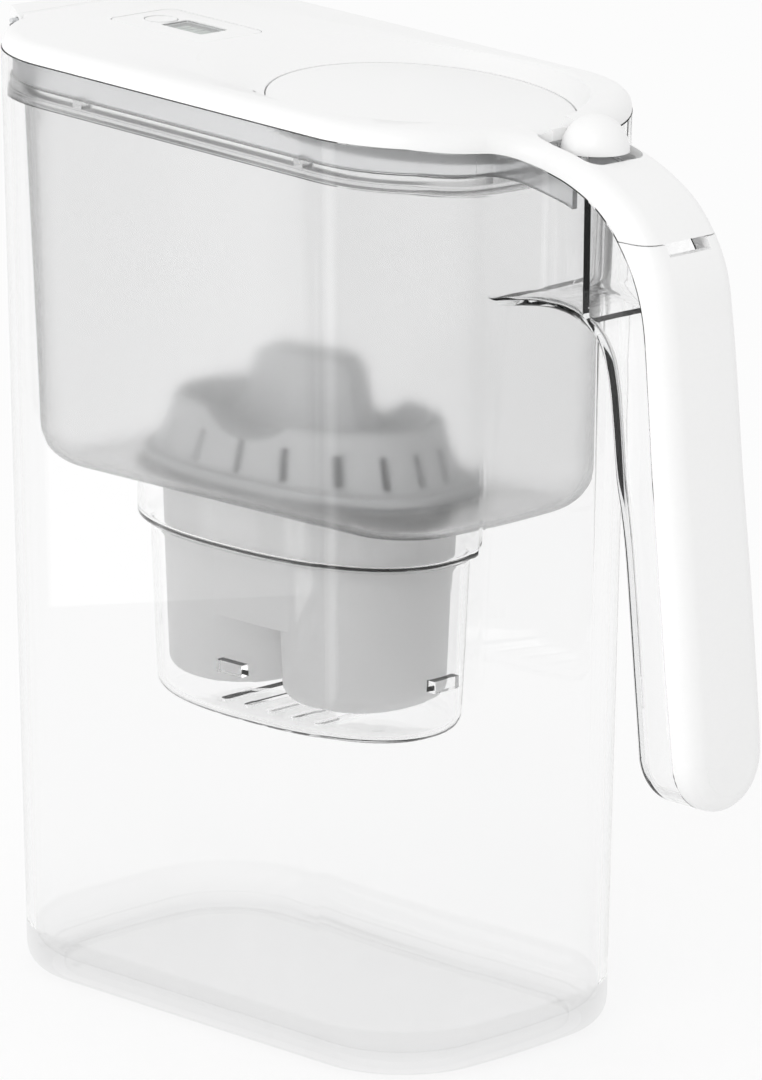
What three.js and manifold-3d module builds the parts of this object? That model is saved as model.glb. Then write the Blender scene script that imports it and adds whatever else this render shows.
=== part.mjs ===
// Water filter pitcher with a flip lid, in millimetres, +Z up. The jug's middle is at x = 0 while the pieces
// are made: the handle reaches towards +X and the pouring beak towards -X.
import * as THREE from "three";
import { mergeVertices } from "three/addons/utils/BufferGeometryUtils.js";
import Module from "manifold-3d";

const wasm = await Module();
wasm.setup();

// Fit between neighbouring pieces, and how far a cutting tool runs past what it cuts
const fit = 0.3;
const overrun = 5;
const quarterSegments = 6;

// Jug: plan sizes at the floor and at the rim, measured from the jug's middle
const floorHalfLength = 85.3;
const sideTaper = 3.6;
const floorCorner = 32.4;
const endBulge = 240;
const rimFront = 92.8;
const rimBack = 88.4;
const hopperSideRoom = 22.6;
const rimHeight = 262.2;
const rimSlopeShare = 0.045;
const jugWall = 2.4;
const jugRimWall = 1.5;
const floorThickness = 3.4;
const footFillet = 7;
const footRecess = 2.2;
const footLand = 3.6;
const hopperLedgeDrop = 12;

// Pouring beak
const beakReach = 8.4;
const beakRootHalf = 33.5;
const beakTipHalf = 25;
const beakCorner = 5;
const beakDepth = 33;

// Handle: a channel moulded on the jug, closed by the lid's tongue and by the grip cover
const handleReach = 67.9;
const handleHalfWidth = 14.5;
const handleRounding = 5;
const channelWall = 2.4;
const coverWall = 2.2;
const coverSeamShare = 0.906;
const channelRound = 3;
const neckFillet = 14;
const neckDepth = 23.5;
const coverHookDepth = 6;
const coverHookThickness = 1.9;
const coverNotchHalfWidth = 8;
const coverNotchHeight = 3.2;
const coverNotchDepth = 2.6;

// Places along the handle, counted in stations of the table below
const seamStation = 6;
const coverHookStations = [8, 10, 12];
const coverHookSpan = 0.5;
const coverRibStations = [7, 9, 11, 13];
const coverRibSpan = 0.1;

// Stations down the handle as [underside, seam edge, crown], each as [x share, z share]: x in shares of the
// handle's reach beyond the rim's back, z in shares of the rim's height
const handleShares = [
  [[-0.18, 0.814], [-0.18, 0.987], [-0.18, 1.007]],
  [[-0.035, 0.817], [-0.035, 0.979], [-0.035, 0.999]],
  [[0.1, 0.819], [0.105, 0.966], [0.11, 0.99]],
  [[0.22, 0.818], [0.26, 0.955], [0.29, 0.98]],
  [[0.325, 0.811], [0.39, 0.94], [0.45, 0.964]],
  [[0.41, 0.797], [0.48, 0.923], [0.6, 0.939]],
  [[0.462, 0.777], [0.55, 0.903], [0.707, 0.906]],
  [[0.49, 0.748], [0.63, 0.87], [0.777, 0.868]],
  [[0.508, 0.71], [0.683, 0.828], [0.81, 0.819]],
  [[0.53, 0.656], [0.713, 0.76], [0.842, 0.752]],
  [[0.55, 0.622], [0.745, 0.672], [0.877, 0.666]],
  [[0.58, 0.565], [0.79, 0.567], [0.927, 0.563]],
  [[0.622, 0.466], [0.834, 0.466], [0.969, 0.462]],
  [[0.655, 0.389], [0.87, 0.393], [0.995, 0.389]],
  [[0.68, 0.324], [0.9, 0.324], [1, 0.324]],
];

// Lid
const lidRise = 5.3;
const lidInset = 0.2;
const lidEdgeRound = 4.6;
const lidWall = 2.2;
const ringInset = 3.2;
const ringWall = 1.8;
const ringDrop = 7;
const ringRise = 1.4;
const ringNotchRise = 3;

// Refill flap and the dish that it lies in
const flapX = 39.3;
const dishDepth = 5.1;
const flapSlopeShare = 0.095;
const flapSideRoom = 11.7;
const flapThickness = 2.4;
const flapSeat = 3;
const flapSeatThickness = 2;
const bowlWall = 1.5;
const dishMargin = 4.1;
const dishFront = 33;
const flapHingeX = 88;
const flapHingeDrop = 4.2;
const neckHalfWidth = 8.5;
const neckThickness = 2.6;
const barrelRadius = 1.9;
const flapPinRadius = 0.9;
const pinFit = 0.1;
const domeX = 103.6;
const domeHalfLength = 9.4;
const domeHalfWidth = 9;
const domeTopRise = 4.4;
const domeFootDrop = 5.4;
const domeWall = 2;
const pocketBack = 113.2;
const pocketHalfWidth = 10.6;
const pocketCorner = 4;
const scoopReach = 14.5;
const scoopWidthShare = 0.88;
const scoopDepth = 3.4;
const dishBendShare = 0.36;

// Spout flap
const spoutSeamX = -89.1;
const spoutHalfRoot = 29;
const spoutHalfTip = 22.4;
const spoutFlapThickness = 2.4;
const spoutLip = 2.2;
const spoutAxisDrop = 1.7;
const spoutBarrelRadius = 1.6;
const spoutPinRadius = 0.7;

// Timer set in the lid near the beak
const timerX = -52.5;
const timerLength = 38;
const timerWidth = 24.8;
const timerCorner = 3;
const fasciaThickness = 1.6;
const caseLength = 35;
const caseWidth = 21.4;
const caseDepth = 12.4;
const caseWall = 1.4;
const caseCorner = 2.5;
const lcdX = -49.2;
const lcdLength = 16.4;
const lcdWidth = 10.6;
const lcdCorner = 1;
const lcdGlassThickness = 1.2;
const lcdPanelThickness = 1.6;
const lcdPanelBorder = 1.5;
const buttonX = -62.6;
const buttonRadius = 4.6;
const buttonEarHalf = 2.6;
const buttonEarReach = 1.2;
const buttonEarThickness = 0.7;
const buttonThickness = 1.9;
const buttonTravel = 0.5;
const boardThickness = 1.1;
const boardDrop = 4.3;
const switchSize = 4.6;
const cellRadius = 8;
const cellThickness = 2;
const cellDrop = 6.6;
const contactThickness = 0.4;
const contactWidth = 5;
const doorRadius = 8.6;
const doorThickness = 2;
const doorFlange = 1;
const doorSlotWidth = 1.6;
const doorSealRadius = 0.55;

// Hopper
const hopperFlangeInset = 1.9;
const hopperFlangeThickness = 1.8;
const hopperRimWall = 1.6;
const hopperRimGap = 0.5;
const hopperWallInset = 5.6;
const hopperFootInset = 8.2;
const hopperWall = 1.9;
const hopperDepth = 114.2;
const hopperFillet = 12;
const hopperRibWidth = 3.4;
const hopperRibX = 42.9;
const pourHalfWidth = 24;
const wellX = -2.2;

// Filter well
const collarMargin = 1.8;
const collarDepth = 13.4;
const wellShoulder = 3.5;
const wellTaper = 1.9;
const wellDepth = 65;
const wellWall = 1.6;
const wellFillet = 5;
const wellStep = 2.4;
const lugLength = 10;
const lugHeight = 3.4;
const lugReach = 2.6;
const lugRise = 16.8;
const outletSlotWidth = 3;
const outletSlotLength = 30;
const outletSlotPitch = 9;
const ovalPower = 2.4;
const ovalSegments = 32;

// Cartridge
const seatLift = 1.2;
const flangeHalfLength = 54;
const flangeHalfWidth = 31.4;
const flangeThickness = 3;
const flangeChamfer = 1;
const flangeLipLength = 4.5;
const flangeLipWidth = 3.4;
const capTaperLength = 6.5;
const capTaperWidth = 4.4;
const capRise = 16;
const capWall = 1.8;
const capDeckDrop = 7;
const capScallop = 6;
const capScallopHalf = 20;
const finHalfLength = 18;
const finHalfThickness = 4.6;
const finRise = 34.6;
const finCorner = 7;
const finFootShare = 1.35;
const inletSlotWidth = 2.2;
const inletSlotHeight = 9;
const inletSlotCount = 18;
const trunkStepLength = 7.5;
const trunkStepWidth = 8;
const lobeHalfLength = 24;
const lobeTaper = 4;
const lobeSegments = 24;
const crotchDrop = 40;
const cartridgeDepth = 61;
const cartridgeFillet = 5;
const cartridgeWall = 1.5;
const outletHoleRadius = 2.2;
const outletHoleCount = 6;
const outletRingRadius = 11;
const screenThickness = 0.8;
const mediaTopDrop = 14;
const sealThickness = 1.2;
const sealWidth = 2.4;

// Heights and plans that follow from the sizes above
const coverSeam = rimHeight * coverSeamShare;
const flapHingeZ = rimHeight - flapHingeDrop;
const domeTop = rimHeight + domeTopRise;
const domeFoot = rimHeight - domeFootDrop;
const hopperBottom = rimHeight - hopperDepth;
const collarBottom = hopperBottom - collarDepth;
const rimHalfWidth = flangeHalfWidth + hopperSideRoom;
const floorHalfWidth = rimHalfWidth - sideTaper;
const flapRadius = rimHalfWidth - flapSideRoom;
const dishRadius = flapRadius + dishMargin;
const wellBottom = hopperBottom - wellDepth;
const flangeLow = hopperBottom + hopperWall + seatLift + fit;
const cartridgeBottom = flangeLow - cartridgeDepth;
const finTop = flangeLow + finRise;
const collarHalfLength = flangeHalfLength + collarMargin;
const collarHalfWidth = flangeHalfWidth + collarMargin;
const wellTopHalfLength = collarHalfLength - wellShoulder;
const wellTopHalfWidth = collarHalfWidth - wellShoulder;
const wellBottomHalfLength = wellTopHalfLength - wellTaper;
const wellBottomHalfWidth = wellTopHalfWidth - wellTaper;
const capBaseHalfLength = flangeHalfLength - flangeLipLength;
const capBaseHalfWidth = flangeHalfWidth - flangeLipWidth;
const capTopHalfLength = capBaseHalfLength - capTaperLength;
const capTopHalfWidth = capBaseHalfWidth - capTaperWidth;
const trunkHalfLength = flangeHalfLength - trunkStepLength;
const lobeHalfWidth = flangeHalfWidth - trunkStepWidth;
const lobeSpacing = 2 * (trunkHalfLength - lobeHalfLength);

// Solids from closed geometry, and geometry back from solids
function solidOf(geometry) {
  const bare = geometry.index ? geometry.toNonIndexed() : geometry.clone();
  bare.deleteAttribute("normal");
  bare.deleteAttribute("uv");
  const merged = mergeVertices(bare, overrun * 1e-5);
  const from = merged.index.array;
  const kept = [];
  for (let i = 0; i < from.length; i += 3) {
    const [a, b, c] = [from[i], from[i + 1], from[i + 2]];
    if (a !== b && b !== c && c !== a) kept.push(a, b, c);
  }
  const make = (triangles) =>
    new wasm.Manifold(
      new wasm.Mesh({
        numProp: 3,
        vertProperties: merged.attributes.position.array,
        triVerts: new Uint32Array(triangles),
      }),
    );
  const made = make(kept);
  if (made.volume() > 0) return made;
  for (let i = 0; i < kept.length; i += 3) [kept[i + 1], kept[i + 2]] = [kept[i + 2], kept[i + 1]];
  return make(kept);
}

function geometryOf(solid) {
  const mesh = solid.getMesh();
  const geometry = new THREE.BufferGeometry();
  geometry.setAttribute("position", new THREE.BufferAttribute(new Float32Array(mesh.vertProperties), 3));
  geometry.setIndex(new THREE.BufferAttribute(new Uint32Array(mesh.triVerts), 1));
  geometry.computeVertexNormals();
  return geometry;
}

const join = (...solids) => solids.reduce((sum, solid) => sum.add(solid));
const cut = (solid, ...tools) => tools.reduce((rest, tool) => rest.subtract(tool), solid);
const meet = (...solids) => solids.reduce((common, solid) => common.intersect(solid));

// A closed loft through rings of equal length; each end is closed by a fan from its middle
function loft(rings) {
  const count = rings[0].length;
  const points = rings.flat();
  const middle = (ring) => ring.reduce((sum, p) => sum.add(p), new THREE.Vector3()).divideScalar(count);
  points.push(middle(rings[0]), middle(rings[rings.length - 1]));
  const [first, last] = [points.length - 2, points.length - 1];
  const top = (rings.length - 1) * count;
  const triangles = [];
  for (let i = 0; i < count; i++) {
    const next = (i + 1) % count;
    triangles.push(first, next, i, last, top + i, top + next);
    for (let k = 0; k < top; k += count) {
      triangles.push(k + i, k + next, k + count + i, k + next, k + count + next, k + count + i);
    }
  }
  const geometry = new THREE.BufferGeometry().setFromPoints(points);
  geometry.setIndex(triangles);
  return solidOf(geometry);
}

// An upright prism of a plan outline between two heights
const prism = (outline, low, high) =>
  loft([low, high].map((z) => outline.map((p) => new THREE.Vector3(p.x, p.y, z))));

// A plate of a side outline, given in x and z, of half a width either side of the middle
const sidePlate = (outline, halfWidth) => {
  const shape = new THREE.Shape(outline);
  const geometry = new THREE.ExtrudeGeometry(shape, { depth: 2 * halfWidth, bevelEnabled: false });
  geometry.rotateX(Math.PI / 2).translate(0, halfWidth, 0);
  return solidOf(geometry);
};

function block(x, y, z, length, width, height) {
  const geometry = new THREE.BoxGeometry(length, width, height);
  return solidOf(geometry.translate(x, y, z));
}

// A round bar along one axis, centred on a point
function bar(radius, length, axis, x, y, z, segments = 4 * quarterSegments) {
  const geometry = new THREE.CylinderGeometry(radius, radius, length, segments);
  if (axis === "x") geometry.rotateZ(Math.PI / 2);
  if (axis === "z") geometry.rotateX(Math.PI / 2);
  return solidOf(geometry.translate(x, y, z));
}

// The steps of a quarter turn that rounds an edge or a foot
const roundSteps = 3;
const neckSteps = 6;
const quarterTurns = Array.from({ length: roundSteps + 1 }, (_, i) => (Math.PI * i) / (2 * roundSteps));

const arc = (cx, cy, radius, from, to, segments) =>
  Array.from({ length: segments + 1 }, (_, i) => {
    const angle = from + ((to - from) * i) / segments;
    return new THREE.Vector2(cx + radius * Math.cos(angle), cy + radius * Math.sin(angle));
  });

function roundedPlan(x, y, length, width, corner) {
  const [hx, hy] = [length / 2 - corner, width / 2 - corner];
  const quarter = Math.PI / 2;
  return [[1, 1], [-1, 1], [-1, -1], [1, -1]].flatMap(([sx, sy], k) =>
    arc(x + sx * hx, y + sy * hy, corner, k * quarter, (k + 1) * quarter, roundSteps),
  );
}

// An oval of the well and the cartridge: a superellipse
function oval(x, halfLength, halfWidth, segments = ovalSegments) {
  return Array.from({ length: segments }, (_, i) => {
    const angle = (2 * Math.PI * i) / segments;
    const bend = (value) => Math.sign(value) * Math.abs(value) ** (2 / ovalPower);
    return new THREE.Vector2(x + halfLength * bend(Math.cos(angle)), halfWidth * bend(Math.sin(angle)));
  });
}

const lift = (outline, height) =>
  outline.map((p) => new THREE.Vector3(p.x, p.y, typeof height === "function" ? height(p.x) : height));

// A size that changes evenly from the floor to the rim
const between = (low, high, height) => low + ((high - low) * height) / rimHeight;

// The rounded corner of the jug's plan at a height, for an end with its own reach at the rim
function planCorner(height, rimReach) {
  const radius = floorCorner + between(0, rimHalfWidth - floorHalfWidth, height);
  const y = between(floorHalfWidth, rimHalfWidth, height) - radius;
  const bulgeX = between(floorHalfLength, rimReach, height) - endBulge;
  return { bulgeX, radius, x: bulgeX + Math.sqrt((endBulge - radius) ** 2 - y ** 2), y };
}

// The jug's plan at a height: straight sides, rounded corners and bulged ends, drawn in by an inset
function jugPlan(height, inset = 0) {
  const quarterTurn = (rimReach) => {
    const { bulgeX, radius, x, y } = planCorner(height, rimReach);
    const turn = Math.atan2(y, x - bulgeX);
    return [
      ...arc(bulgeX, 0, endBulge - inset, 0, turn, 2),
      ...arc(x, y, radius - inset, turn, Math.PI / 2, quarterSegments).slice(1),
    ];
  };
  const back = quarterTurn(rimBack);
  const front = quarterTurn(rimFront);
  const flip = (points, sx, sy) => points.map((p) => new THREE.Vector2(sx * p.x, sy * p.y));
  return [
    ...back,
    ...flip(front, -1, 1).reverse().slice(0, -1),
    ...flip(front, -1, -1),
    ...flip(back, 1, -1).reverse().slice(0, -1),
  ];
}

// The jug's form between two heights, drawn in by an inset
const jugForm = (low, high, inset) => loft([low, high].map((z) => lift(jugPlan(z, inset), z)));

// Curves of the handle seen from the side: 0 underside, 1 seam edge, 2 crown
const handleCurves = [0, 1, 2].map(
  (k) =>
    new THREE.SplineCurve(
      handleShares.map((row) => new THREE.Vector2(rimBack + handleReach * row[k][0], rimHeight * row[k][1])),
    ),
);
const lastStation = handleShares.length - 1;
const stationSteps = 3;

// A point beside a handle curve, moved outwards by an offset
function beside(k, station, offset = 0) {
  const curve = handleCurves[k];
  const share = station / lastStation;
  const point = curve.getPoint(share);
  const along = curve.getTangent(share);
  return new THREE.Vector2(point.x - along.y * offset, point.y + along.x * offset);
}

const stations = (from, to) => {
  const count = Math.round((to - from) * stationSteps);
  return Array.from({ length: count + 1 }, (_, i) => from + ((to - from) * i) / count);
};

// The height of a handle curve over a place in x, for the stretch that has one height there
function heightOn(k, x) {
  const points = stations(0, lastStation / 2).map((s) => beside(k, s));
  const next = Math.max(1, points.findIndex((p) => p.x >= x));
  const [a, b] = [points[next - 1], points[next]];
  return a.y + ((b.y - a.y) * (x - a.x)) / (b.x - a.x);
}

const shoulderX = beside(1, 0).x;
const rimPlane = (x) => rimHeight - rimSlopeShare * x;
const rimLine = (x) => (x <= shoulderX ? rimPlane(x) : heightOn(1, x));
const lidLine = (x) => (x <= shoulderX ? rimPlane(x) + lidRise : heightOn(2, x));

// Everything below a line that runs over the jug and down the handle, moved by an offset and a shift
function underLine(k, start, offset, shift) {
  const reach = rimFront + 4 * beakReach;
  const edge = stations(0, lastStation).map((s) => beside(k, s));
  const outline = [new THREE.Vector2(-reach, start(-reach)), ...edge];
  const end = edge[edge.length - 1];
  outline.push(new THREE.Vector2(end.x, -rimHeight), new THREE.Vector2(-reach, -rimHeight));
  return sidePlate(outline.map((p) => new THREE.Vector2(p.x + shift, p.y + offset)), rimHalfWidth + overrun);
}

// Below the line where lid and jug meet, and below the lid's top
const underRim = (offset, shift = 0) => underLine(1, rimPlane, offset, shift);
const underLid = (offset) => underLine(2, lidLine, offset, 0);

// A loft down the handle between two of its curves, with its own half width and rounded edges
function handleForm(from, to, inner, outer, halfWidth, innerRound, outerRound) {
  const corner = (u, v, radius, sideU, sideV) => {
    const start = Math.atan2(sideV, sideU) - Math.PI / 4;
    const steps = radius ? roundSteps : 1;
    return arc(u - sideU * radius, v - sideV * radius, radius, start, start + Math.PI / 2, steps);
  };
  return loft(
    stations(from, to).map((station) => {
      const [a, b] = [beside(inner[0], station, inner[1]), beside(outer[0], station, outer[1])];
      const depth = a.distanceTo(b);
      const section = [
        ...corner(depth, halfWidth, outerRound, 1, 1),
        ...corner(0, halfWidth, innerRound, -1, 1),
        ...corner(0, -halfWidth, innerRound, -1, -1),
        ...corner(depth, -halfWidth, outerRound, 1, -1),
      ];
      return section.map((p) => {
        const place = a.clone().lerp(b, p.x / depth);
        return new THREE.Vector3(place.x, p.y, place.y);
      });
    }),
  );
}

// What lies inside the handle's round end, drawn in by an inset, its edges rounded towards both faces
function handleEnd(inset) {
  const [radius, round] = [handleHalfWidth - inset, handleRounding - inset];
  const foot = beside(1, lastStation).y + handleHalfWidth;
  const faceAt = (k, offset) => {
    const [end, before] = [lastStation, lastStation - 1].map((station) => beside(k, station, offset));
    return (z) => end.x + ((z - end.y) * (before.x - end.x)) / (before.y - end.y);
  };
  const ring = (face, depth, drawn) => {
    const outline = arc(0, foot, radius - drawn, Math.PI, 2 * Math.PI, 2 * quarterSegments);
    const side = radius - drawn;
    outline.push(new THREE.Vector2(side, foot + overrun), new THREE.Vector2(-side, foot + overrun));
    return outline.map((p) => new THREE.Vector3(face(p.y) + depth, p.x, p.y));
  };
  const [under, crown] = [faceAt(0, inset), faceAt(2, -inset)];
  const depths = quarterTurns.map((a) => [round * (1 - Math.cos(a)), round * (1 - Math.sin(a))]);
  const spoon = loft([
    ring(under, -overrun, round),
    ...depths.map(([depth, drawn]) => ring(under, depth, drawn)),
    ...depths.map(([depth, drawn]) => ring(crown, -depth, drawn)).reverse(),
    ring(crown, overrun, round),
  ]);
  const above = block(rimBack + handleReach, 0, foot + rimHeight / 2, 4 * handleReach, 2 * radius, rimHeight);
  return join(spoon, above);
}

// The neck's plan where the handle leaves the jug's end: fillets that run from the jug's corners into the
// handle's sides, at a height, drawn in by an inset, as far out as a reach beyond the rim's back
function neckPlan(height, inset, reach) {
  const corner = planCorner(height, rimBack);
  const y = handleHalfWidth + neckFillet;
  const x = corner.x + Math.sqrt((corner.radius + neckFillet) ** 2 - (y - corner.y) ** 2);
  const turn = Math.atan2(y - corner.y, x - corner.x) - Math.PI;
  const upper = [
    ...arc(x, y, neckFillet + inset, turn, -Math.PI / 2, neckSteps),
    new THREE.Vector2(rimBack + reach, handleHalfWidth - inset),
  ];
  upper.unshift(new THREE.Vector2(upper[0].x - 2 * overrun, upper[0].y));
  return [...upper.map((p) => new THREE.Vector2(p.x, -p.y)), ...upper.reverse()];
}

// The neck above the handle's underside, its lower edges rounded
function neckForm(inset, reach) {
  const round = handleRounding - inset;
  const [low, top] = [heightOn(0, rimBack), rimHeight + 3 * overrun];
  const under = (x) => heightOn(0, x) + inset;
  const rounded = quarterTurns.map((a) => {
    const plan = neckPlan(low, inset + round * (1 - Math.sin(a)), reach);
    return lift(plan, (x) => under(x) + round * (1 - Math.cos(a)));
  });
  return loft([...rounded, lift(neckPlan(top, inset, reach), top)]);
}

// The pouring beak's plan, with its reach and its inset
function beakPlan(reach, inset) {
  const [root, tip] = [beakRootHalf - inset, beakTipHalf - inset];
  const front = -rimFront - reach + inset;
  const upper = arc(front + beakCorner, tip - beakCorner, beakCorner, Math.PI, Math.PI / 2, 4);
  const lower = upper.map((p) => new THREE.Vector2(p.x, -p.y)).reverse();
  const back = -rimFront + 3 * overrun;
  return [new THREE.Vector2(back, -root), ...lower, ...upper, new THREE.Vector2(back, root)];
}

function beakForm(inset) {
  const top = rimHeight + 3 * overrun;
  const foot = rimPlane(-rimFront) - beakDepth;
  const rings = [
    lift(beakPlan(-overrun / 2, inset), foot),
    lift(beakPlan(beakReach, inset), rimPlane(-rimFront)),
    lift(beakPlan(beakReach, inset), top),
  ];
  return loft(rings);
}

function jugBody() {
  const top = rimHeight + 3 * overrun;
  const filleted = (inset, low, fillet) => [
    ...quarterTurns.map((a) => {
      const z = low + fillet * (1 - Math.cos(a));
      return lift(jugPlan(z, inset + fillet * (1 - Math.sin(a))), z);
    }),
    lift(jugPlan(top, inset), top),
  ];
  const outer = loft(filleted(0, 0, footFillet));
  const cavity = loft(filleted(jugWall, footRecess + floorThickness, footFillet));
  const rebate = cut(jugForm(rimHeight / 2, top, jugRimWall), underRim(-hopperLedgeDrop));
  const recess = jugForm(-overrun, footRecess, footFillet + footLand);
  const spine = meet(
    handleForm(0, lastStation, [0, 0], [1, overrun], handleHalfWidth, handleRounding, 0),
    handleEnd(0),
  );
  const webBack = rimBack + neckDepth + channelWall;
  const channelHalf = handleHalfWidth - channelWall;
  const channel = cut(
    meet(
      handleForm(0, lastStation, [0, channelWall], [1, 2 * overrun], channelHalf, channelRound, 0),
      handleEnd(channelWall),
    ),
    block(webBack - rimHeight, 0, rimHeight, 2 * rimHeight, 4 * handleHalfWidth, 2 * rimHeight),
  );
  const cavities = [cavity, neckForm(jugWall, neckDepth), beakForm(jugWall), rebate, recess];
  const shell = cut(join(outer, spine, neckForm(0, neckDepth), beakForm(0)), ...cavities);
  return meet(cut(shell, channel), underRim(0));
}

// A slab across the seam edge between two stations, its corners as [curve, offset, side]
function seamSlab(station, length, corners) {
  const ring = (s) =>
    corners.map(([k, offset, y]) => {
      const place = beside(k, s, offset);
      return new THREE.Vector3(place.x, y, place.y);
    });
  return loft([ring(station), ring(station + length)]);
}

// Snap hooks that reach from the cover into the channel, in pairs
function coverHooks() {
  const outside = handleHalfWidth - channelWall - fit;
  const inside = outside - coverHookThickness;
  return coverHookStations.flatMap((station) =>
    [1, -1].map((side) =>
      seamSlab(station, coverHookSpan, [
        [1, -coverHookDepth, side * outside],
        [2, -coverWall / 2, side * outside],
        [2, -coverWall / 2, side * inside],
        [1, -coverHookDepth, side * inside],
      ]),
    ),
  );
}

// Cross ribs inside the cover, kept within its outer form
function coverRibs(outer) {
  const y = handleHalfWidth - coverWall / 2;
  return coverRibStations.map((station) => {
    const corners = [[1, fit, -y], [2, -coverWall / 2, -y], [2, -coverWall / 2, y], [1, fit, y]];
    return meet(seamSlab(station, coverRibSpan, corners), outer);
  });
}

function gripCover() {
  const seam = coverSeam - fit / 2;
  const start = seamStation - 1;
  const below = block(rimBack, 0, seam - rimHeight, 4 * handleReach, 4 * handleHalfWidth, 2 * rimHeight);
  const outer = meet(
    handleForm(start, lastStation, [1, fit], [2, 0], handleHalfWidth, 0, handleRounding),
    handleEnd(0),
    below,
  );
  const insideHalf = handleHalfWidth - coverWall;
  const inside = meet(
    handleForm(start, lastStation, [1, -overrun], [2, -coverWall], insideHalf, 0, channelRound),
    handleEnd(coverWall),
    below,
  );
  const crown = beside(2, seamStation);
  const notchZ = coverSeam - coverNotchHeight / 2;
  const notch = block(crown.x, 0, notchZ, 2 * coverNotchDepth, 2 * coverNotchHalfWidth, coverNotchHeight);
  const shell = join(cut(outer, inside), ...coverHooks().map((h) => meet(h, below)), ...coverRibs(outer));
  return cut(meet(shell, handleEnd(0)), notch);
}

// The dish's edge on the lid's top, by direction from the flap's middle
function dishPlan(extra = 0, share = 1) {
  const count = 6 * quarterSegments;
  return Array.from({ length: count }, (_, i) => {
    const angle = (2 * Math.PI * i) / count;
    const front = Math.max(0, -Math.cos(angle)) ** 3 * (flapX + dishFront - dishRadius);
    const edge = dishRadius + front;
    const radius = flapRadius + fit + (edge - flapRadius - fit) * share + extra;
    return new THREE.Vector2(flapX + radius * Math.cos(angle), radius * Math.sin(angle));
  });
}

const flapLine = (x) => lidLine(flapX) - dishDepth - flapSlopeShare * (x - flapX);

// The lid's plate between the rim line and the lid line, with a rounded top edge
function platePiece(inset, drop) {
  const radius = Math.max(lidEdgeRound - inset, lidEdgeRound / 3);
  const plan = (extra) => jugPlan(rimHeight, lidInset + inset + extra);
  const rounded = quarterTurns.map((a) =>
    lift(plan(radius * (1 - Math.cos(a))), (x) => lidLine(x) - drop - radius * (1 - Math.sin(a))),
  );
  const rings = [
    lift(plan(0), (x) => rimLine(x) - overrun),
    ...rounded,
    lift(plan(radius), (x) => lidLine(x) + overrun),
  ];
  return meet(loft(rings), underLid(-drop));
}

// The lid's neck between the plate and the tongue, drawn in by an inset, its top lowered by a drop
function lidNeck(inset, drop) {
  const radius = handleRounding - inset;
  const plan = (drawn) => neckPlan(rimHeight, lidInset + inset + drawn, neckDepth / 2);
  const rounded = quarterTurns.map((a) =>
    lift(plan(radius * (1 - Math.cos(a))), (x) => lidLine(x) - drop - radius * (1 - Math.sin(a))),
  );
  const rings = [
    lift(plan(0), (x) => rimLine(x) - overrun),
    ...rounded,
    lift(plan(radius), (x) => lidLine(x) + overrun),
  ];
  return meet(loft(rings), underLid(-drop));
}

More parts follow.
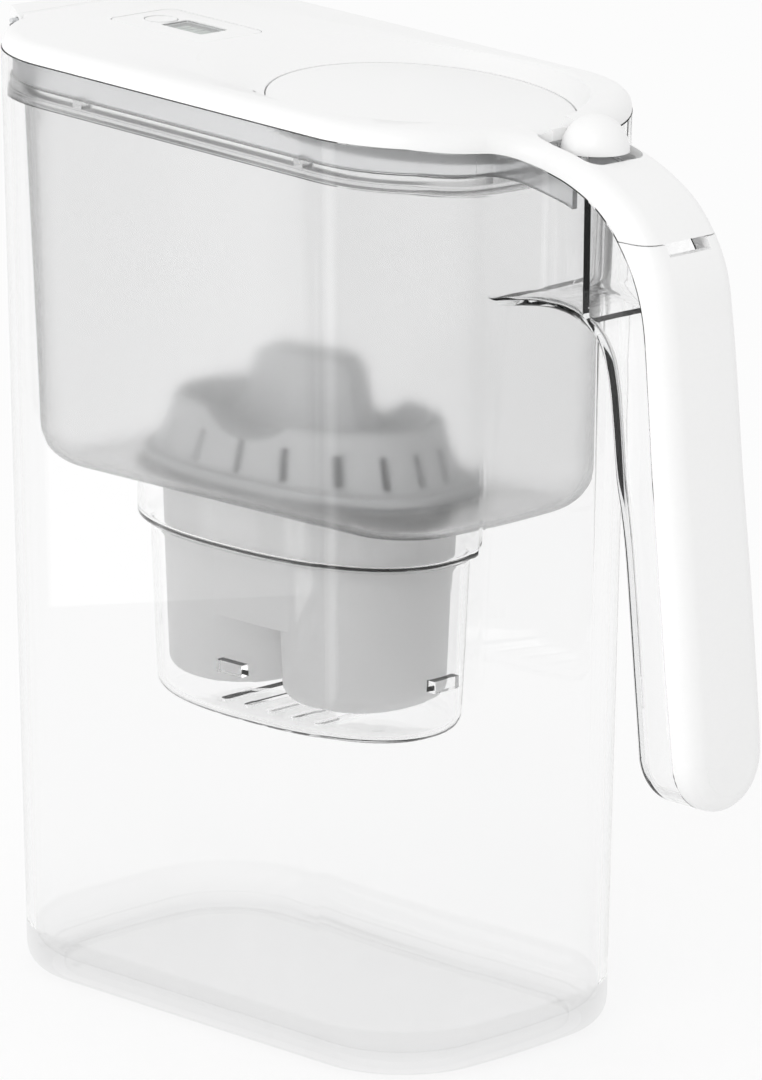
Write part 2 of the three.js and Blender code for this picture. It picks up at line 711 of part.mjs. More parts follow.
function lidShell() {
  const seam = coverSeam + fit / 2;
  const aboveSeam = block(rimBack, 0, seam + rimHeight / 2, 4 * handleReach, 4 * handleHalfWidth, rimHeight);
  const tongueEnd = seamStation + 1;
  const tongue = meet(
    handleForm(0, tongueEnd, [1, -overrun], [2, 0], handleHalfWidth, 0, handleRounding),
    aboveSeam,
  );
  const tongueInside = handleForm(
    0,
    tongueEnd,
    [1, -2 * overrun],
    [2, -lidWall],
    handleHalfWidth - lidWall,
    0,
    channelRound,
  );
  const hollow = platePiece(lidWall, lidWall);
  const neck = cut(lidNeck(0, 0), hollow);
  const beak = loft([
    lift(beakPlan(beakReach, lidInset), (x) => rimPlane(x) - overrun),
    lift(beakPlan(beakReach, lidInset), (x) => rimPlane(x) + lidRise - lidWall / 2),
    lift(beakPlan(beakReach, lidInset + lidWall / 2), (x) => rimPlane(x) + lidRise),
  ]);
  const beakHollow = lift(beakPlan(beakReach + overrun, lidInset + lidWall), 0);
  const beakInside = loft([
    beakHollow.map((p) => new THREE.Vector3(p.x, p.y, rimPlane(p.x) - 2 * overrun)),
    beakHollow.map((p) => new THREE.Vector3(p.x, p.y, rimPlane(p.x) + lidRise - lidWall)),
  ]);
  const bowl = loft([
    lift(dishPlan(bowlWall, 0), (x) => flapLine(x) - flapThickness - fit - flapSeatThickness),
    lift(dishPlan(bowlWall, 0), (x) => flapLine(x) - lidWall / 2),
    lift(dishPlan(bowlWall, 0.5), (x) => (flapLine(x) + lidLine(x)) / 2 - lidWall),
    lift(dishPlan(bowlWall, 1), (x) => lidLine(x) - lidWall / 2),
  ]);
  const dish = loft([
    lift(dishPlan(0, 0), flapLine),
    lift(dishPlan(0, 0.5), (x) => flapLine(x) + (lidLine(x) - flapLine(x)) * dishBendShare),
    lift(dishPlan(0, 1), lidLine),
    lift(dishPlan(lidEdgeRound, 1), (x) => lidLine(x) + overrun),
  ]);
  const seat = loft([
    lift(dishPlan(0, 0), (x) => flapLine(x) - flapThickness - fit),
    lift(dishPlan(0, 0), (x) => flapLine(x) + fit),
  ]);
  const hole = loft([
    lift(dishPlan(-flapSeat, 0), (x) => flapLine(x) - 3 * overrun),
    lift(dishPlan(-flapSeat, 0), (x) => flapLine(x) + fit),
  ]);
  const earDepth = flapHingeZ - rimLine(flapHingeX);
  const ears = [1, -1].map((side) =>
    block(
      flapHingeX,
      (side * (neckHalfWidth + fit + handleHalfWidth)) / 2,
      flapHingeZ,
      4 * barrelRadius,
      handleHalfWidth - neckHalfWidth - fit,
      2 * earDepth,
    ),
  );
  const slotStart = flapX + flapRadius - 2 * flapSeat;
  const slotEnd = domeX;
  const neckSlot = block(
    (slotStart + slotEnd) / 2,
    0,
    flapHingeZ,
    slotEnd - slotStart,
    2 * (neckHalfWidth + fit),
    8 * overrun,
  );
  const pocketStart = domeX - domeHalfLength - 2 * domeWall;
  const pocketLength = pocketBack - pocketStart;
  const pocket = prism(
    roundedPlan(pocketBack - pocketLength / 2, 0, pocketLength, 2 * pocketHalfWidth, pocketCorner),
    domeFoot - 4 * overrun,
    domeTop + overrun,
  );
  const scoop = (extra) => {
    const geometry = new THREE.SphereGeometry(scoopReach + extra, 24, 12);
    geometry.scale(1, scoopWidthShare, (scoopDepth + overrun + extra) / (scoopReach + extra));
    return solidOf(geometry.translate(domeX + 2 * domeWall, 0, lidLine(domeX) + overrun));
  };
  const pinLength = 2 * (handleHalfWidth - lidWall / 2);
  const pin = bar(flapPinRadius + pinFit, pinLength, "y", flapHingeX, 0, flapHingeZ, 16);
  const boss = prism(
    roundedPlan(timerX, 0, timerLength + 2 * lidWall, timerWidth + 2 * lidWall, timerCorner + lidWall),
    lidLine(timerX) - lidWall - fasciaThickness,
    lidLine(timerX) - lidWall / 2,
  );
  const neckInside = lidNeck(lidWall, lidWall);
  const plate = cut(join(platePiece(0, 0), beak), hollow, beakInside, cut(neckInside, ...ears));
  const shell = join(plate, bowl, boss);
  const tongueShell = cut(join(tongue, neck), cut(join(tongueInside, neckInside), ...ears));
  const whole = cut(join(shell, tongueShell, meet(scoop(lidWall), join(tongue, neck))), dish, seat, hole);
  const opened = cut(whole, neckSlot, pocket, scoop(0), pin, timerOpening(), spoutOpening());
  const ledge = cut(meet(bowl, underRim(lidWall)), dish, seat, hole, neckSlot);
  return join(cut(opened, underRim(fit, fit)), ledge);
}

// The timer's place: height of its top over x follows the lid
const timerTop = (x) => lidLine(x);
const timerSheet = (outline, low, high) =>
  loft([lift(outline, (x) => timerTop(x) - low), lift(outline, (x) => timerTop(x) - high)]);

function timerOpening() {
  const plate = roundedPlan(timerX, 0, timerLength + 2 * fit, timerWidth + 2 * fit, timerCorner + fit);
  const tub = roundedPlan(timerX, 0, caseLength + 2 * fit, caseWidth + 2 * fit, caseCorner + fit);
  return join(
    timerSheet(plate, fasciaThickness + fit, -overrun),
    timerSheet(tub, fasciaThickness + caseDepth, fasciaThickness),
  );
}

const spoutPlan = (inset) => {
  const front = -rimFront - beakReach;
  const seamHalf = spoutHalfRoot - inset;
  return [
    new THREE.Vector2(spoutSeamX - inset, seamHalf),
    new THREE.Vector2(front + inset, spoutHalfTip - inset),
    new THREE.Vector2(front + inset, -spoutHalfTip + inset),
    new THREE.Vector2(spoutSeamX - inset, -seamHalf),
  ];
};

const spoutAxisX = spoutSeamX - fit - spoutBarrelRadius;
const spoutAxisZ = rimPlane(spoutAxisX) + lidRise - spoutAxisDrop;

function spoutOpening() {
  const plan = spoutPlan(0).map((p, i) => new THREE.Vector2(i === 1 || i === 2 ? p.x - overrun : p.x, p.y));
  const pinLength = 2 * (spoutHalfRoot + lidWall);
  return join(
    prism(plan, rimPlane(0) - overrun, rimHeight + 3 * overrun),
    bar(spoutPinRadius + pinFit, pinLength, "y", spoutAxisX, 0, spoutAxisZ, 12),
  );
}

function spoutFlap() {
  const plan = spoutPlan(fit);
  const topAt = (x) => rimPlane(x) + lidRise;
  const tailX = spoutAxisX;
  const leaf = plan.map((p, i) => new THREE.Vector2(i === 0 || i === 3 ? tailX : p.x, p.y));
  const plate = loft([lift(leaf, (x) => topAt(x) - spoutFlapThickness), lift(leaf, topAt)]);
  const tip = -rimFront - beakReach + fit;
  const [lipLow, lipHigh] = [rimPlane(tip) + fit, topAt(tip) - spoutFlapThickness / 2];
  const lip = block(
    tip + spoutLip / 2,
    0,
    (lipLow + lipHigh) / 2,
    spoutLip,
    2 * (spoutHalfTip - 2 * fit),
    lipHigh - lipLow,
  );
  const barrel = bar(spoutBarrelRadius, 2 * (spoutHalfRoot - fit), "y", spoutAxisX, 0, spoutAxisZ);
  const bore = bar(spoutPinRadius + pinFit, 4 * spoutHalfRoot, "y", spoutAxisX, 0, spoutAxisZ, 12);
  return cut(join(plate, lip, barrel), bore);
}

const spoutPin = () =>
  bar(spoutPinRadius, 2 * (spoutHalfRoot + lidWall - fit), "y", spoutAxisX, 0, spoutAxisZ, 12);

// The jug's mouth between two heights, with the neck, drawn in by an inset
const mouthForm = (low, high, inset) =>
  join(jugForm(low, high, inset), prism(neckPlan(rimHeight, inset, neckDepth), low, high));

// The ring follows the jug's mouth and sends an arm along each side of the neck
function lidRing() {
  const wallOf = (form) =>
    cut(
      form(rimHeight - 3 * hopperLedgeDrop, rimHeight + 3 * overrun, ringInset),
      form(rimHeight - 4 * hopperLedgeDrop, rimHeight + 4 * overrun, ringInset + ringWall),
    );
  const body = join(wallOf(jugForm), wallOf(mouthForm));
  const band = cut(meet(body, underRim(ringRise)), underRim(-ringDrop));
  const handleNotch = block(
    rimBack,
    0,
    rimLine(rimBack - ringInset) + rimHeight / 2 - ringNotchRise,
    4 * overrun,
    2 * (handleHalfWidth + channelWall),
    rimHeight,
  );
  const beakNotch = block(-rimFront, 0, rimPlane(-rimFront), 4 * overrun, 2 * spoutHalfTip, 8 * overrun);
  const neckEnd = block(rimBack + neckDepth, 0, rimHeight, 2 * overrun, 2 * handleHalfWidth, rimHeight);
  return cut(band, handleNotch, beakNotch, neckEnd);
}

function refillFlap() {
  const disc = loft([
    lift(dishPlan(-fit, 0), (x) => flapLine(x) - flapThickness),
    lift(dishPlan(-fit, 0), (x) => flapLine(x) - flapThickness / 4),
    lift(dishPlan(-fit - flapThickness / 4, 0), flapLine),
  ]);
  const discBack = flapX + flapRadius;
  const low = flapHingeZ - barrelRadius;
  const neck = sidePlate(
    [
      new THREE.Vector2(discBack - 4 * flapThickness, flapLine(discBack) - flapThickness),
      new THREE.Vector2(discBack - flapThickness / 2, flapLine(discBack) - flapThickness),
      new THREE.Vector2(flapHingeX - barrelRadius, low),
      new THREE.Vector2(flapHingeX, low),
      new THREE.Vector2(flapHingeX + barrelRadius, low + neckThickness / 4),
      new THREE.Vector2(domeX - domeHalfLength + domeWall, domeFoot + neckThickness),
      new THREE.Vector2(domeX - domeHalfLength + domeWall, domeFoot + 2.2 * neckThickness),
      new THREE.Vector2(flapHingeX + 2 * barrelRadius, flapHingeZ + barrelRadius + neckThickness / 4),
      new THREE.Vector2(flapHingeX - barrelRadius, flapHingeZ + barrelRadius),
      new THREE.Vector2(discBack - flapThickness, flapLine(discBack)),
      new THREE.Vector2(discBack - 4 * flapThickness, flapLine(discBack - 4 * flapThickness)),
    ],
    neckHalfWidth,
  );
  const knob = (inset) => {
    const geometry = new THREE.SphereGeometry(1, 20, 12);
    const height = domeTop - domeFoot;
    geometry.rotateX(Math.PI / 2);
    geometry.scale(domeHalfLength - inset, domeHalfWidth - inset, height - inset);
    return solidOf(geometry.translate(domeX, 0, domeFoot));
  };
  const foot = block(domeX, 0, domeFoot - rimHeight / 2, 4 * scoopReach, 4 * scoopReach, rimHeight);
  const shell = cut(knob(0), cut(knob(domeWall), foot), foot);
  const clearInside = cut(knob(domeWall), foot);
  const barrel = bar(barrelRadius, 2 * neckHalfWidth, "y", flapHingeX, 0, flapHingeZ);
  const bore = bar(flapPinRadius + pinFit, 4 * neckHalfWidth, "y", flapHingeX, 0, flapHingeZ, 16);
  return cut(join(disc, cut(neck, clearInside), shell, barrel), bore);
}

const flapPin = () =>
  bar(flapPinRadius, 2 * (handleHalfWidth - lidWall / 2 - fit), "y", flapHingeX, 0, flapHingeZ, 16);

function timerFascia() {
  const plate = timerSheet(roundedPlan(timerX, 0, timerLength, timerWidth, timerCorner), fasciaThickness, 0);
  const glass = timerSheet(roundedPlan(lcdX, 0, lcdLength, lcdWidth, lcdCorner), fasciaThickness + fit, -fit);
  return cut(plate, glass, bar(buttonRadius + fit, 4 * overrun, "z", buttonX, 0, timerTop(buttonX)));
}

const lcdWindow = () =>
  timerSheet(
    roundedPlan(lcdX, 0, lcdLength - 2 * fit, lcdWidth - 2 * fit, lcdCorner - fit),
    lcdGlassThickness,
    fit / 2,
  );

function lcdPanel() {
  const top = fasciaThickness + fit;
  const [length, width] = [lcdLength + lcdPanelBorder, lcdWidth + 2 * lcdPanelBorder];
  const plan = roundedPlan(lcdX + lcdPanelBorder / 2, 0, length, width, lcdCorner);
  return timerSheet(plan, top + lcdPanelThickness, top);
}

function timerButton() {
  const under = fasciaThickness + fit;
  const top = timerTop(buttonX);
  const cap = bar(buttonRadius, buttonThickness + fit, "z", buttonX, 0, top - (buttonThickness + fit) / 2);
  const earsWidth = 2 * (buttonRadius + buttonEarReach);
  const earsZ = top - under - buttonEarThickness / 2;
  return join(cap, block(buttonX, 0, earsZ, 2 * buttonEarHalf, earsWidth, buttonEarThickness));
}

const boardTop = fasciaThickness + boardDrop;

function circuitBoard() {
  const [length, width] = [caseLength - 2 * (caseWall + fit), caseWidth - 2 * (caseWall + fit)];
  const plan = roundedPlan(timerX, 0, length, width, caseCorner - caseWall);
  return timerSheet(plan, boardTop + boardThickness, boardTop);
}

function timerSwitch() {
  const under = fasciaThickness + fit + buttonEarThickness + buttonTravel + fit / 2;
  const height = boardTop - fit - under;
  return block(buttonX, 0, timerTop(buttonX) - under - height / 2, switchSize, switchSize, height);
}

const cellTop = fasciaThickness + cellDrop;
const caseZ = (drop) => timerTop(timerX) - drop;

const coinCell = () => bar(cellRadius, cellThickness, "z", timerX, 0, caseZ(cellTop + cellThickness / 2));

// The clip that touches the cell's side and is soldered to the board
function cellClip() {
  const [x, high] = [timerX + cellRadius + fit + contactThickness / 2, caseZ(boardTop + boardThickness + fit + fit)];
  const low = caseZ(cellTop + cellThickness);
  const leaf = block(x, 0, (high + low) / 2, contactThickness, contactWidth, high - low);
  const foot = block(
    x + contactWidth / 4,
    0,
    high - contactThickness / 2,
    contactWidth / 2 + contactThickness,
    contactWidth,
    contactThickness,
  );
  return join(leaf, foot);
}

const cellSpring = () =>
  block(
    timerX,
    0,
    caseZ(cellTop + cellThickness + fit + contactThickness / 2),
    2 * contactWidth,
    contactWidth,
    contactThickness,
  );

function timerCase() {
  const outline = (inset) =>
    roundedPlan(timerX, 0, caseLength - 2 * inset, caseWidth - 2 * inset, caseCorner - inset / 2);
  const floor = caseZ(fasciaThickness + caseDepth - fit);
  const shell = cut(
    loft([lift(outline(0), floor), lift(outline(0), (x) => timerTop(x) - fasciaThickness - fit)]),
    prism(outline(caseWall), floor + caseWall, floor + 2 * caseDepth),
  );
  return cut(shell, bar(doorRadius + fit, 4 * overrun, "z", timerX, 0, floor));
}

function doorSizes() {
  const under = caseZ(fasciaThickness + caseDepth - fit);
  return { under, top: under + doorThickness, bottom: under - doorFlange - fit };
}

function batteryDoor() {
  const { under, top, bottom } = doorSizes();
  const plug = bar(doorRadius - 2 * doorSealRadius, top - bottom, "z", timerX, 0, (top + bottom) / 2);
  const collar = bar(doorRadius, doorSealRadius, "z", timerX, 0, top - doorSealRadius / 2);
  const flange = bar(doorRadius + doorFlange, doorFlange, "z", timerX, 0, bottom + doorFlange / 2);
  const slot = block(timerX, 0, bottom, 2 * doorRadius - doorFlange, doorSlotWidth, doorFlange);
  return cut(join(plug, collar, flange), slot);
}

function doorSeal() {
  const { under } = doorSizes();
  const gap = 2 * doorSealRadius - fit;
  const inner = doorRadius - 2 * doorSealRadius + fit / 2;
  const section = arc(inner + gap / 2, 0, gap / 2, 0, 2 * Math.PI, 6);
  const geometry = new THREE.LatheGeometry(section, 24);
  geometry.rotateX(Math.PI / 2);
  return solidOf(geometry.translate(timerX, 0, under + gap));
}

const aboveHopperFloor = block(
  wellX,
  0,
  hopperBottom + hopperWall + overrun + rimHeight / 2,
  rimHeight,
  rimHeight,
  rimHeight,
);

function hopper() {
  const top = rimHeight + 3 * overrun;
  const wallForm = (inset, low, fillet) =>
    loft([
      ...quarterTurns.map((a) => {
        const z = low + fillet * (1 - Math.cos(a));
        return lift(jugPlan(z, hopperFootInset + inset + fillet * (1 - Math.sin(a))), z);
      }),
      lift(jugPlan(top, hopperWallInset + inset), top),
    ]);
  const outer = wallForm(0, hopperBottom, hopperFillet);
  const inner = wallForm(hopperWall, hopperBottom + hopperWall, hopperFillet - hopperWall);
  const flangeLine = -hopperLedgeDrop + fit;
  const flange = cut(
    meet(jugForm(rimHeight / 2, top, hopperFlangeInset), underRim(flangeLine + hopperFlangeThickness)),
    underRim(flangeLine),
  );
  const rimTop = -ringDrop - fit;
  const rim = cut(
    meet(jugForm(rimHeight / 2, top, hopperFlangeInset + hopperRimGap), underRim(rimTop)),
    jugForm(rimHeight / 3, top + overrun, hopperFlangeInset + hopperRimGap + hopperRimWall),
    underRim(flangeLine),
  );
  const ribY = rimHalfWidth - hopperFlangeInset - overrun;
  const ribs = [-1, 1].flatMap((end) =>
    [1, -1].map((side) => block(end * hopperRibX, side * ribY, rimHeight, hopperRibWidth, overrun, rimHeight)),
  );
  const tall = meet(join(...ribs), jugForm(rimHeight / 2, top, hopperFlangeInset), underRim(rimTop));
  const pourNotch = block(-rimFront, 0, rimHeight, 2 * rimFront, 2 * pourHalfWidth, rimHeight);
  const pourWall = meet(outer, underRim(rimTop), pourNotch);
  const bored = cut(join(meet(outer, underRim(flangeLine + hopperFlangeThickness)), pourWall), inner);
  const seatReach = sealWidth - fit;
  const seatHole = prism(oval(wellX, flangeHalfLength - seatReach, flangeHalfWidth - seatReach), 0, top);
  const ledge = cut(join(cut(flange, inner), rim, cut(tall, inner, underRim(flangeLine))), pourNotch);
  return cut(join(bored, ledge), cut(seatHole, aboveHopperFloor));
}

const ovalForm = (rows) => loft(rows.map(([z, a, b]) => lift(oval(wellX, a, b), z)));

function filterWell() {
  const top = hopperBottom - fit;
  const fillet = wellFillet;
  const outer = ovalForm([
    [wellBottom, wellBottomHalfLength - fillet, wellBottomHalfWidth - fillet],
    [wellBottom + fillet / 4, wellBottomHalfLength - fillet / 3, wellBottomHalfWidth - fillet / 3],
    [wellBottom + fillet, wellBottomHalfLength, wellBottomHalfWidth],
    [collarBottom - wellStep, wellTopHalfLength, wellTopHalfWidth],
    [collarBottom, collarHalfLength - wellStep / 4, collarHalfWidth - wellStep / 4],
    [collarBottom + wellStep / 2, collarHalfLength, collarHalfWidth],
    [top, collarHalfLength, collarHalfWidth],
  ]);
  const w = wellWall;
  const inner = ovalForm([
    [wellBottom + w, wellBottomHalfLength - fillet - w / 2, wellBottomHalfWidth - fillet - w / 2],
    [wellBottom + w + fillet / 4, wellBottomHalfLength - fillet / 3 - w, wellBottomHalfWidth - fillet / 3 - w],
    [wellBottom + fillet, wellBottomHalfLength - w, wellBottomHalfWidth - w],
    [collarBottom - wellStep, wellTopHalfLength - w, wellTopHalfWidth - w],
    [collarBottom + w, collarHalfLength - wellStep / 4 - w, collarHalfWidth - wellStep / 4 - w],
    [top + overrun, collarHalfLength - w, collarHalfWidth - w],
  ]);
  const slots = [-2, -1, 0, 1, 2].map((i) =>
    block(wellX + i * outletSlotPitch, 0, wellBottom, outletSlotWidth, outletSlotLength, 2 * overrun),
  );
  const lugZ = wellBottom + lugRise;
  const shareDown = (collarBottom - lugZ) / (collarBottom - wellBottom);
  const sideAt = wellTopHalfWidth + (wellBottomHalfWidth - wellTopHalfWidth) * shareDown;
  const endAt = wellTopHalfLength + (wellBottomHalfLength - wellTopHalfLength) * shareDown;
  const lugs = [
    block(wellX, sideAt, lugZ, lugLength, 2 * lugReach, lugHeight),
    block(wellX, -sideAt, lugZ, lugLength, 2 * lugReach, lugHeight),
    block(wellX + endAt, 0, lugZ, 2 * lugReach, lugLength, lugHeight),
    block(wellX - endAt, 0, lugZ, 2 * lugReach, lugLength, lugHeight),
  ];
  return cut(join(outer, ...lugs), inner, ...slots);
}

function cartridgeCap() {
  const low = flangeLow;
  const high = low + flangeThickness;
  const top = low + flangeThickness + capRise;
  const w = capWall;
  const outer = ovalForm([
    [low, flangeHalfLength, flangeHalfWidth],
    [high - flangeChamfer, flangeHalfLength, flangeHalfWidth],
    [high, flangeHalfLength - flangeChamfer, flangeHalfWidth - flangeChamfer],
    [high, capBaseHalfLength, capBaseHalfWidth],
    [top - w, capTopHalfLength + w / 4, capTopHalfWidth + w / 4],
    [top, capTopHalfLength - w / 2, capTopHalfWidth - w / 2],
  ]);
  const under = ovalForm([
    [low - overrun, capBaseHalfLength - w, capBaseHalfWidth - w],
    [high, capBaseHalfLength - w, capBaseHalfWidth - w],
    [top - capDeckDrop - w, capTopHalfLength - w, capTopHalfWidth - w],
  ]);
  const hollow = ovalForm([
    [top - capDeckDrop, capTopHalfLength - 5 * w / 2, capTopHalfWidth - 5 * w / 2],
    [top + overrun, capTopHalfLength, capTopHalfWidth],
  ]);
  const scallops = [1, -1].map((side) => {
    const ring = arc(wellX, top + capScallopHalf, capScallopHalf + capScallop, 0, 2 * Math.PI, 36).slice(1);
    const plate = sidePlate(ring, capTopHalfWidth / 2);
    return plate.translate([0, side * (capTopHalfWidth + overrun), 0]);
  });
  const finLow = top - capDeckDrop - w;
  const finShape = [
    ...arc(wellX + finHalfLength - finCorner, finTop - finCorner, finCorner, 0, Math.PI / 2, 4),
    ...arc(wellX - finHalfLength + finCorner, finTop - finCorner, finCorner, Math.PI / 2, Math.PI, 4),
    new THREE.Vector2(wellX - finFootShare * finHalfLength, finLow),
    new THREE.Vector2(wellX + finFootShare * finHalfLength, finLow),
  ];
  const fin = sidePlate(finShape, finHalfThickness);
  const slots = Array.from({ length: inletSlotCount }, (_, i) => {
    const angle = (2 * Math.PI * (i + 0.5)) / inletSlotCount;
    const [slotX, slotZ] = [capBaseHalfLength / 2 + overrun, high + inletSlotHeight / 2 + w / 2];
    const tool = block(slotX, 0, slotZ, capBaseHalfLength + 2 * overrun, inletSlotWidth, inletSlotHeight);
    const stretch = capBaseHalfWidth / capBaseHalfLength;
    const turn = Math.atan2(Math.sin(angle) * stretch, Math.cos(angle));
    return tool.rotate([0, 0, THREE.MathUtils.radToDeg(turn)]).translate([wellX, 0, 0]);
  });
  const core = ovalForm([
    [0, capTopHalfLength - 3 * w, capTopHalfWidth - 3 * w],
    [rimHeight, capTopHalfLength - 3 * w, capTopHalfWidth - 3 * w],
  ]);
  return cut(join(cut(outer, under, hollow, ...scallops), fin), cut(join(...slots), core));
}

// The shell's reach at a height: it narrows downwards, and parts into two lobes under the crotch
const lobeReach = (z, inset) => {
  const share = (z - cartridgeBottom) / (flangeLow - cartridgeBottom);
  return [lobeHalfLength - lobeTaper * (1 - share) - inset, lobeHalfWidth - lobeTaper * (1 - share) / 4 - inset];
};
const trunkReach = (z, inset) => {
  const [a, b] = lobeReach(z, inset);
  return [a + lobeSpacing / 2, b];
};
const lobeSides = [-1, 1].map((side) => wellX + (side * lobeSpacing) / 2);

function shellForm(inset, low, high) {
  const round = cartridgeFillet;
  const lobes = lobeSides.map((x) => {
    const ring = (z, extra) => lift(oval(x, ...lobeReach(z, inset + extra), lobeSegments), z);
    return loft([ring(low, round), ring(low + round / 3, round / 4), ring(low + round, 0), ring(high, 0)]);
  });
  const crotch = flangeLow - crotchDrop + inset;
  return join(...lobes, ovalForm([crotch, high].map((z) => [z, ...trunkReach(z, inset)])));
}

function cartridgeBody() {
  const top = flangeLow - fit;
  const w = cartridgeWall;
  const collar = ovalForm([
    [top - 3 * w, ...trunkReach(top - 3 * w, 0)],
    [top - w, flangeHalfLength - sealWidth - fit, flangeHalfWidth - sealWidth - fit],
    [top, flangeHalfLength - sealWidth - fit, flangeHalfWidth - sealWidth - fit],
  ]);
  const holes = lobeSides.flatMap((x) =>
    Array.from({ length: outletHoleCount }, (_, i) => {
      const angle = (2 * Math.PI * i) / outletHoleCount;
      const [dx, dy] = [outletRingRadius * Math.cos(angle), outletRingRadius * Math.sin(angle)];
      return bar(outletHoleRadius, 4 * w, "z", x + dx, dy, cartridgeBottom, 8);
    }),
  );
  const outer = join(shellForm(0, cartridgeBottom, top), collar);
  return cut(outer, shellForm(w, cartridgeBottom + w, top + overrun), ...holes);
}

function filterMedia() {
  const low = cartridgeBottom + cartridgeWall + fit + screenThickness + fit;
  return shellForm(cartridgeWall + fit, low, flangeLow - mediaTopDrop);
}

function outletScreen(x) {
  const low = cartridgeBottom + cartridgeWall + fit;
  const reach = lobeReach(low, cartridgeWall + cartridgeFillet + fit);
  return prism(oval(x, ...reach, lobeSegments), low, low + screenThickness);
}

function inletScreen() {
  const low = flangeLow - mediaTopDrop + fit;
  return prism(oval(wellX, ...trunkReach(low, cartridgeWall + fit)), low, low + screenThickness);
}

function cartridgeSeal() {
  const high = flangeLow - fit;
  const row = (z, reach) => [z, flangeHalfLength - reach, flangeHalfWidth - reach];
  const low = high - sealThickness + fit;
  return cut(
    ovalForm([row(low, 0), row(high, 0)]),
    ovalForm([row(low - overrun, sealWidth), row(high + overrun, sealWidth)]),
  );
}

// Finishes: colour, roughness and metalness
const finishes = {
  clear: { color: 0xdfe6e8, roughness: 0.08, metalness: 0 },
  frosted: { color: 0xd9dcdd, roughness: 0.45, metalness: 0 },
  white: { color: 0xf4f4f3, roughness: 0.38, metalness: 0 },
  grey: { color: 0xb9bcbe, roughness: 0.45, metalness: 0 },
  cartridge: { color: 0xdadbdc, roughness: 0.5, metalness: 0 },
  seal: { color: 0x9fa3a6, roughness: 0.8, metalness: 0 },
  media: { color: 0x2a2a2b, roughness: 0.95, metalness: 0 },
  screen: { color: 0xe4e4e0, roughness: 0.9, metalness: 0 },
  glass: { color: 0x30363a, roughness: 0.1, metalness: 0 },
  lcd: { color: 0x7c8a80, roughness: 0.3, metalness: 0 },
  board: { color: 0x1f5a38, roughness: 0.5, metalness: 0 },
  metal: { color: 0xc8cacc, roughness: 0.25, metalness: 1 },
};

const pieces = [
  ["jug_body", jugBody, "clear"],
  ["handle_grip_cover", gripCover, "white"],
  ["hopper", hopper, "frosted"],
  ["filter_well", filterWell, "clear"],
  ["cartridge_cap", cartridgeCap, "cartridge"],
  ["cartridge_body", cartridgeBody, "cartridge"],
  ["cartridge_seal", cartridgeSeal, "seal"],
  ["inlet_screen", inletScreen, "screen"],
  ["filter_media", filterMedia, "media"],
  ["outlet_screen_front", () => outletScreen(lobeSides[0]), "screen"],
  ["outlet_screen_back", () => outletScreen(lobeSides[1]), "screen"],
  ["lid_shell", lidShell, "white"],
  ["lid_inner_ring", lidRing, "grey"],
  ["refill_flap", refillFlap, "white"],
  ["flap_hinge_pin", flapPin, "metal"],
  ["spout_flap", spoutFlap, "white"],
  ["spout_hinge_pin", spoutPin, "metal"],
  ["timer_fascia", timerFascia, "white"],
  ["lcd_window", lcdWindow, "glass"],
  ["lcd_panel", lcdPanel, "lcd"],
  ["timer_button", timerButton, "white"],
  ["timer_switch", timerSwitch, "metal"],
  ["timer_circuit_board", circuitBoard, "board"],
  ["coin_cell", coinCell, "metal"],
  ["cell_clip", cellClip, "metal"],
  ["cell_spring_contact", cellSpring, "metal"],
  ["timer_case", timerCase, "grey"],
  ["battery_door", batteryDoor, "grey"],
  ["battery_door_seal", doorSeal, "seal"],
];

const pitcher = new THREE.Group();
for (const [name, make, finish] of pieces) {
  const mesh = new THREE.Mesh(geometryOf(make()), new THREE.MeshStandardMaterial(finishes[finish]));
  mesh.name = name;
  pitcher.add(mesh);
}

// The finished part stands with the middle of its length over the origin
pitcher.position.x = (rimFront + beakReach - rimBack - handleReach) / 2;

export default pitcher;
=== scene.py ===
# Clear filter jug with a flip lid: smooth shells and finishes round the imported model, in metres.
import math

import bmesh
import bpy
import numpy as np
from mathutils import Matrix


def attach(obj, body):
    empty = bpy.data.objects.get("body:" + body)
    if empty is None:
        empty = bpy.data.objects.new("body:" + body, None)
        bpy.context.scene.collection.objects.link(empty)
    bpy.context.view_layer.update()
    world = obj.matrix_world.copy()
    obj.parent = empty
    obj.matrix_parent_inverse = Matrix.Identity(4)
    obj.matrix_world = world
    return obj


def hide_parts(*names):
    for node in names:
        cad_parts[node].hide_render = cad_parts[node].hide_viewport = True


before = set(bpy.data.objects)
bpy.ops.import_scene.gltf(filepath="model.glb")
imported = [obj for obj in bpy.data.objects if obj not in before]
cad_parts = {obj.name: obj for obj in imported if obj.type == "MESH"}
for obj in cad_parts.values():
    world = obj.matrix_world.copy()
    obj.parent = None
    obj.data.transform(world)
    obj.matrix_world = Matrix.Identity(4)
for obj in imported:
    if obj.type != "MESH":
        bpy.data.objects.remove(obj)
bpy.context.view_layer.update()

# Drawings are in millimetres with the jug's own middle at x = 0, and shift moves them to the part's middle.
# Fit is the gap between pieces, play a pin's own, run and over are a cut's overrun, far is past everything
drawing = {
    "shift": -27.55, "perMetre": 1000, "fit": 0.3, "play": 0.1, "run": 5.0, "over": 1.0, "far": 524.0,
    "merge": 1e-7, "weld": 2e-6, "crease": 32,
}
fit, run, over, far = (drawing[key] for key in ("fit", "run", "over", "far"))


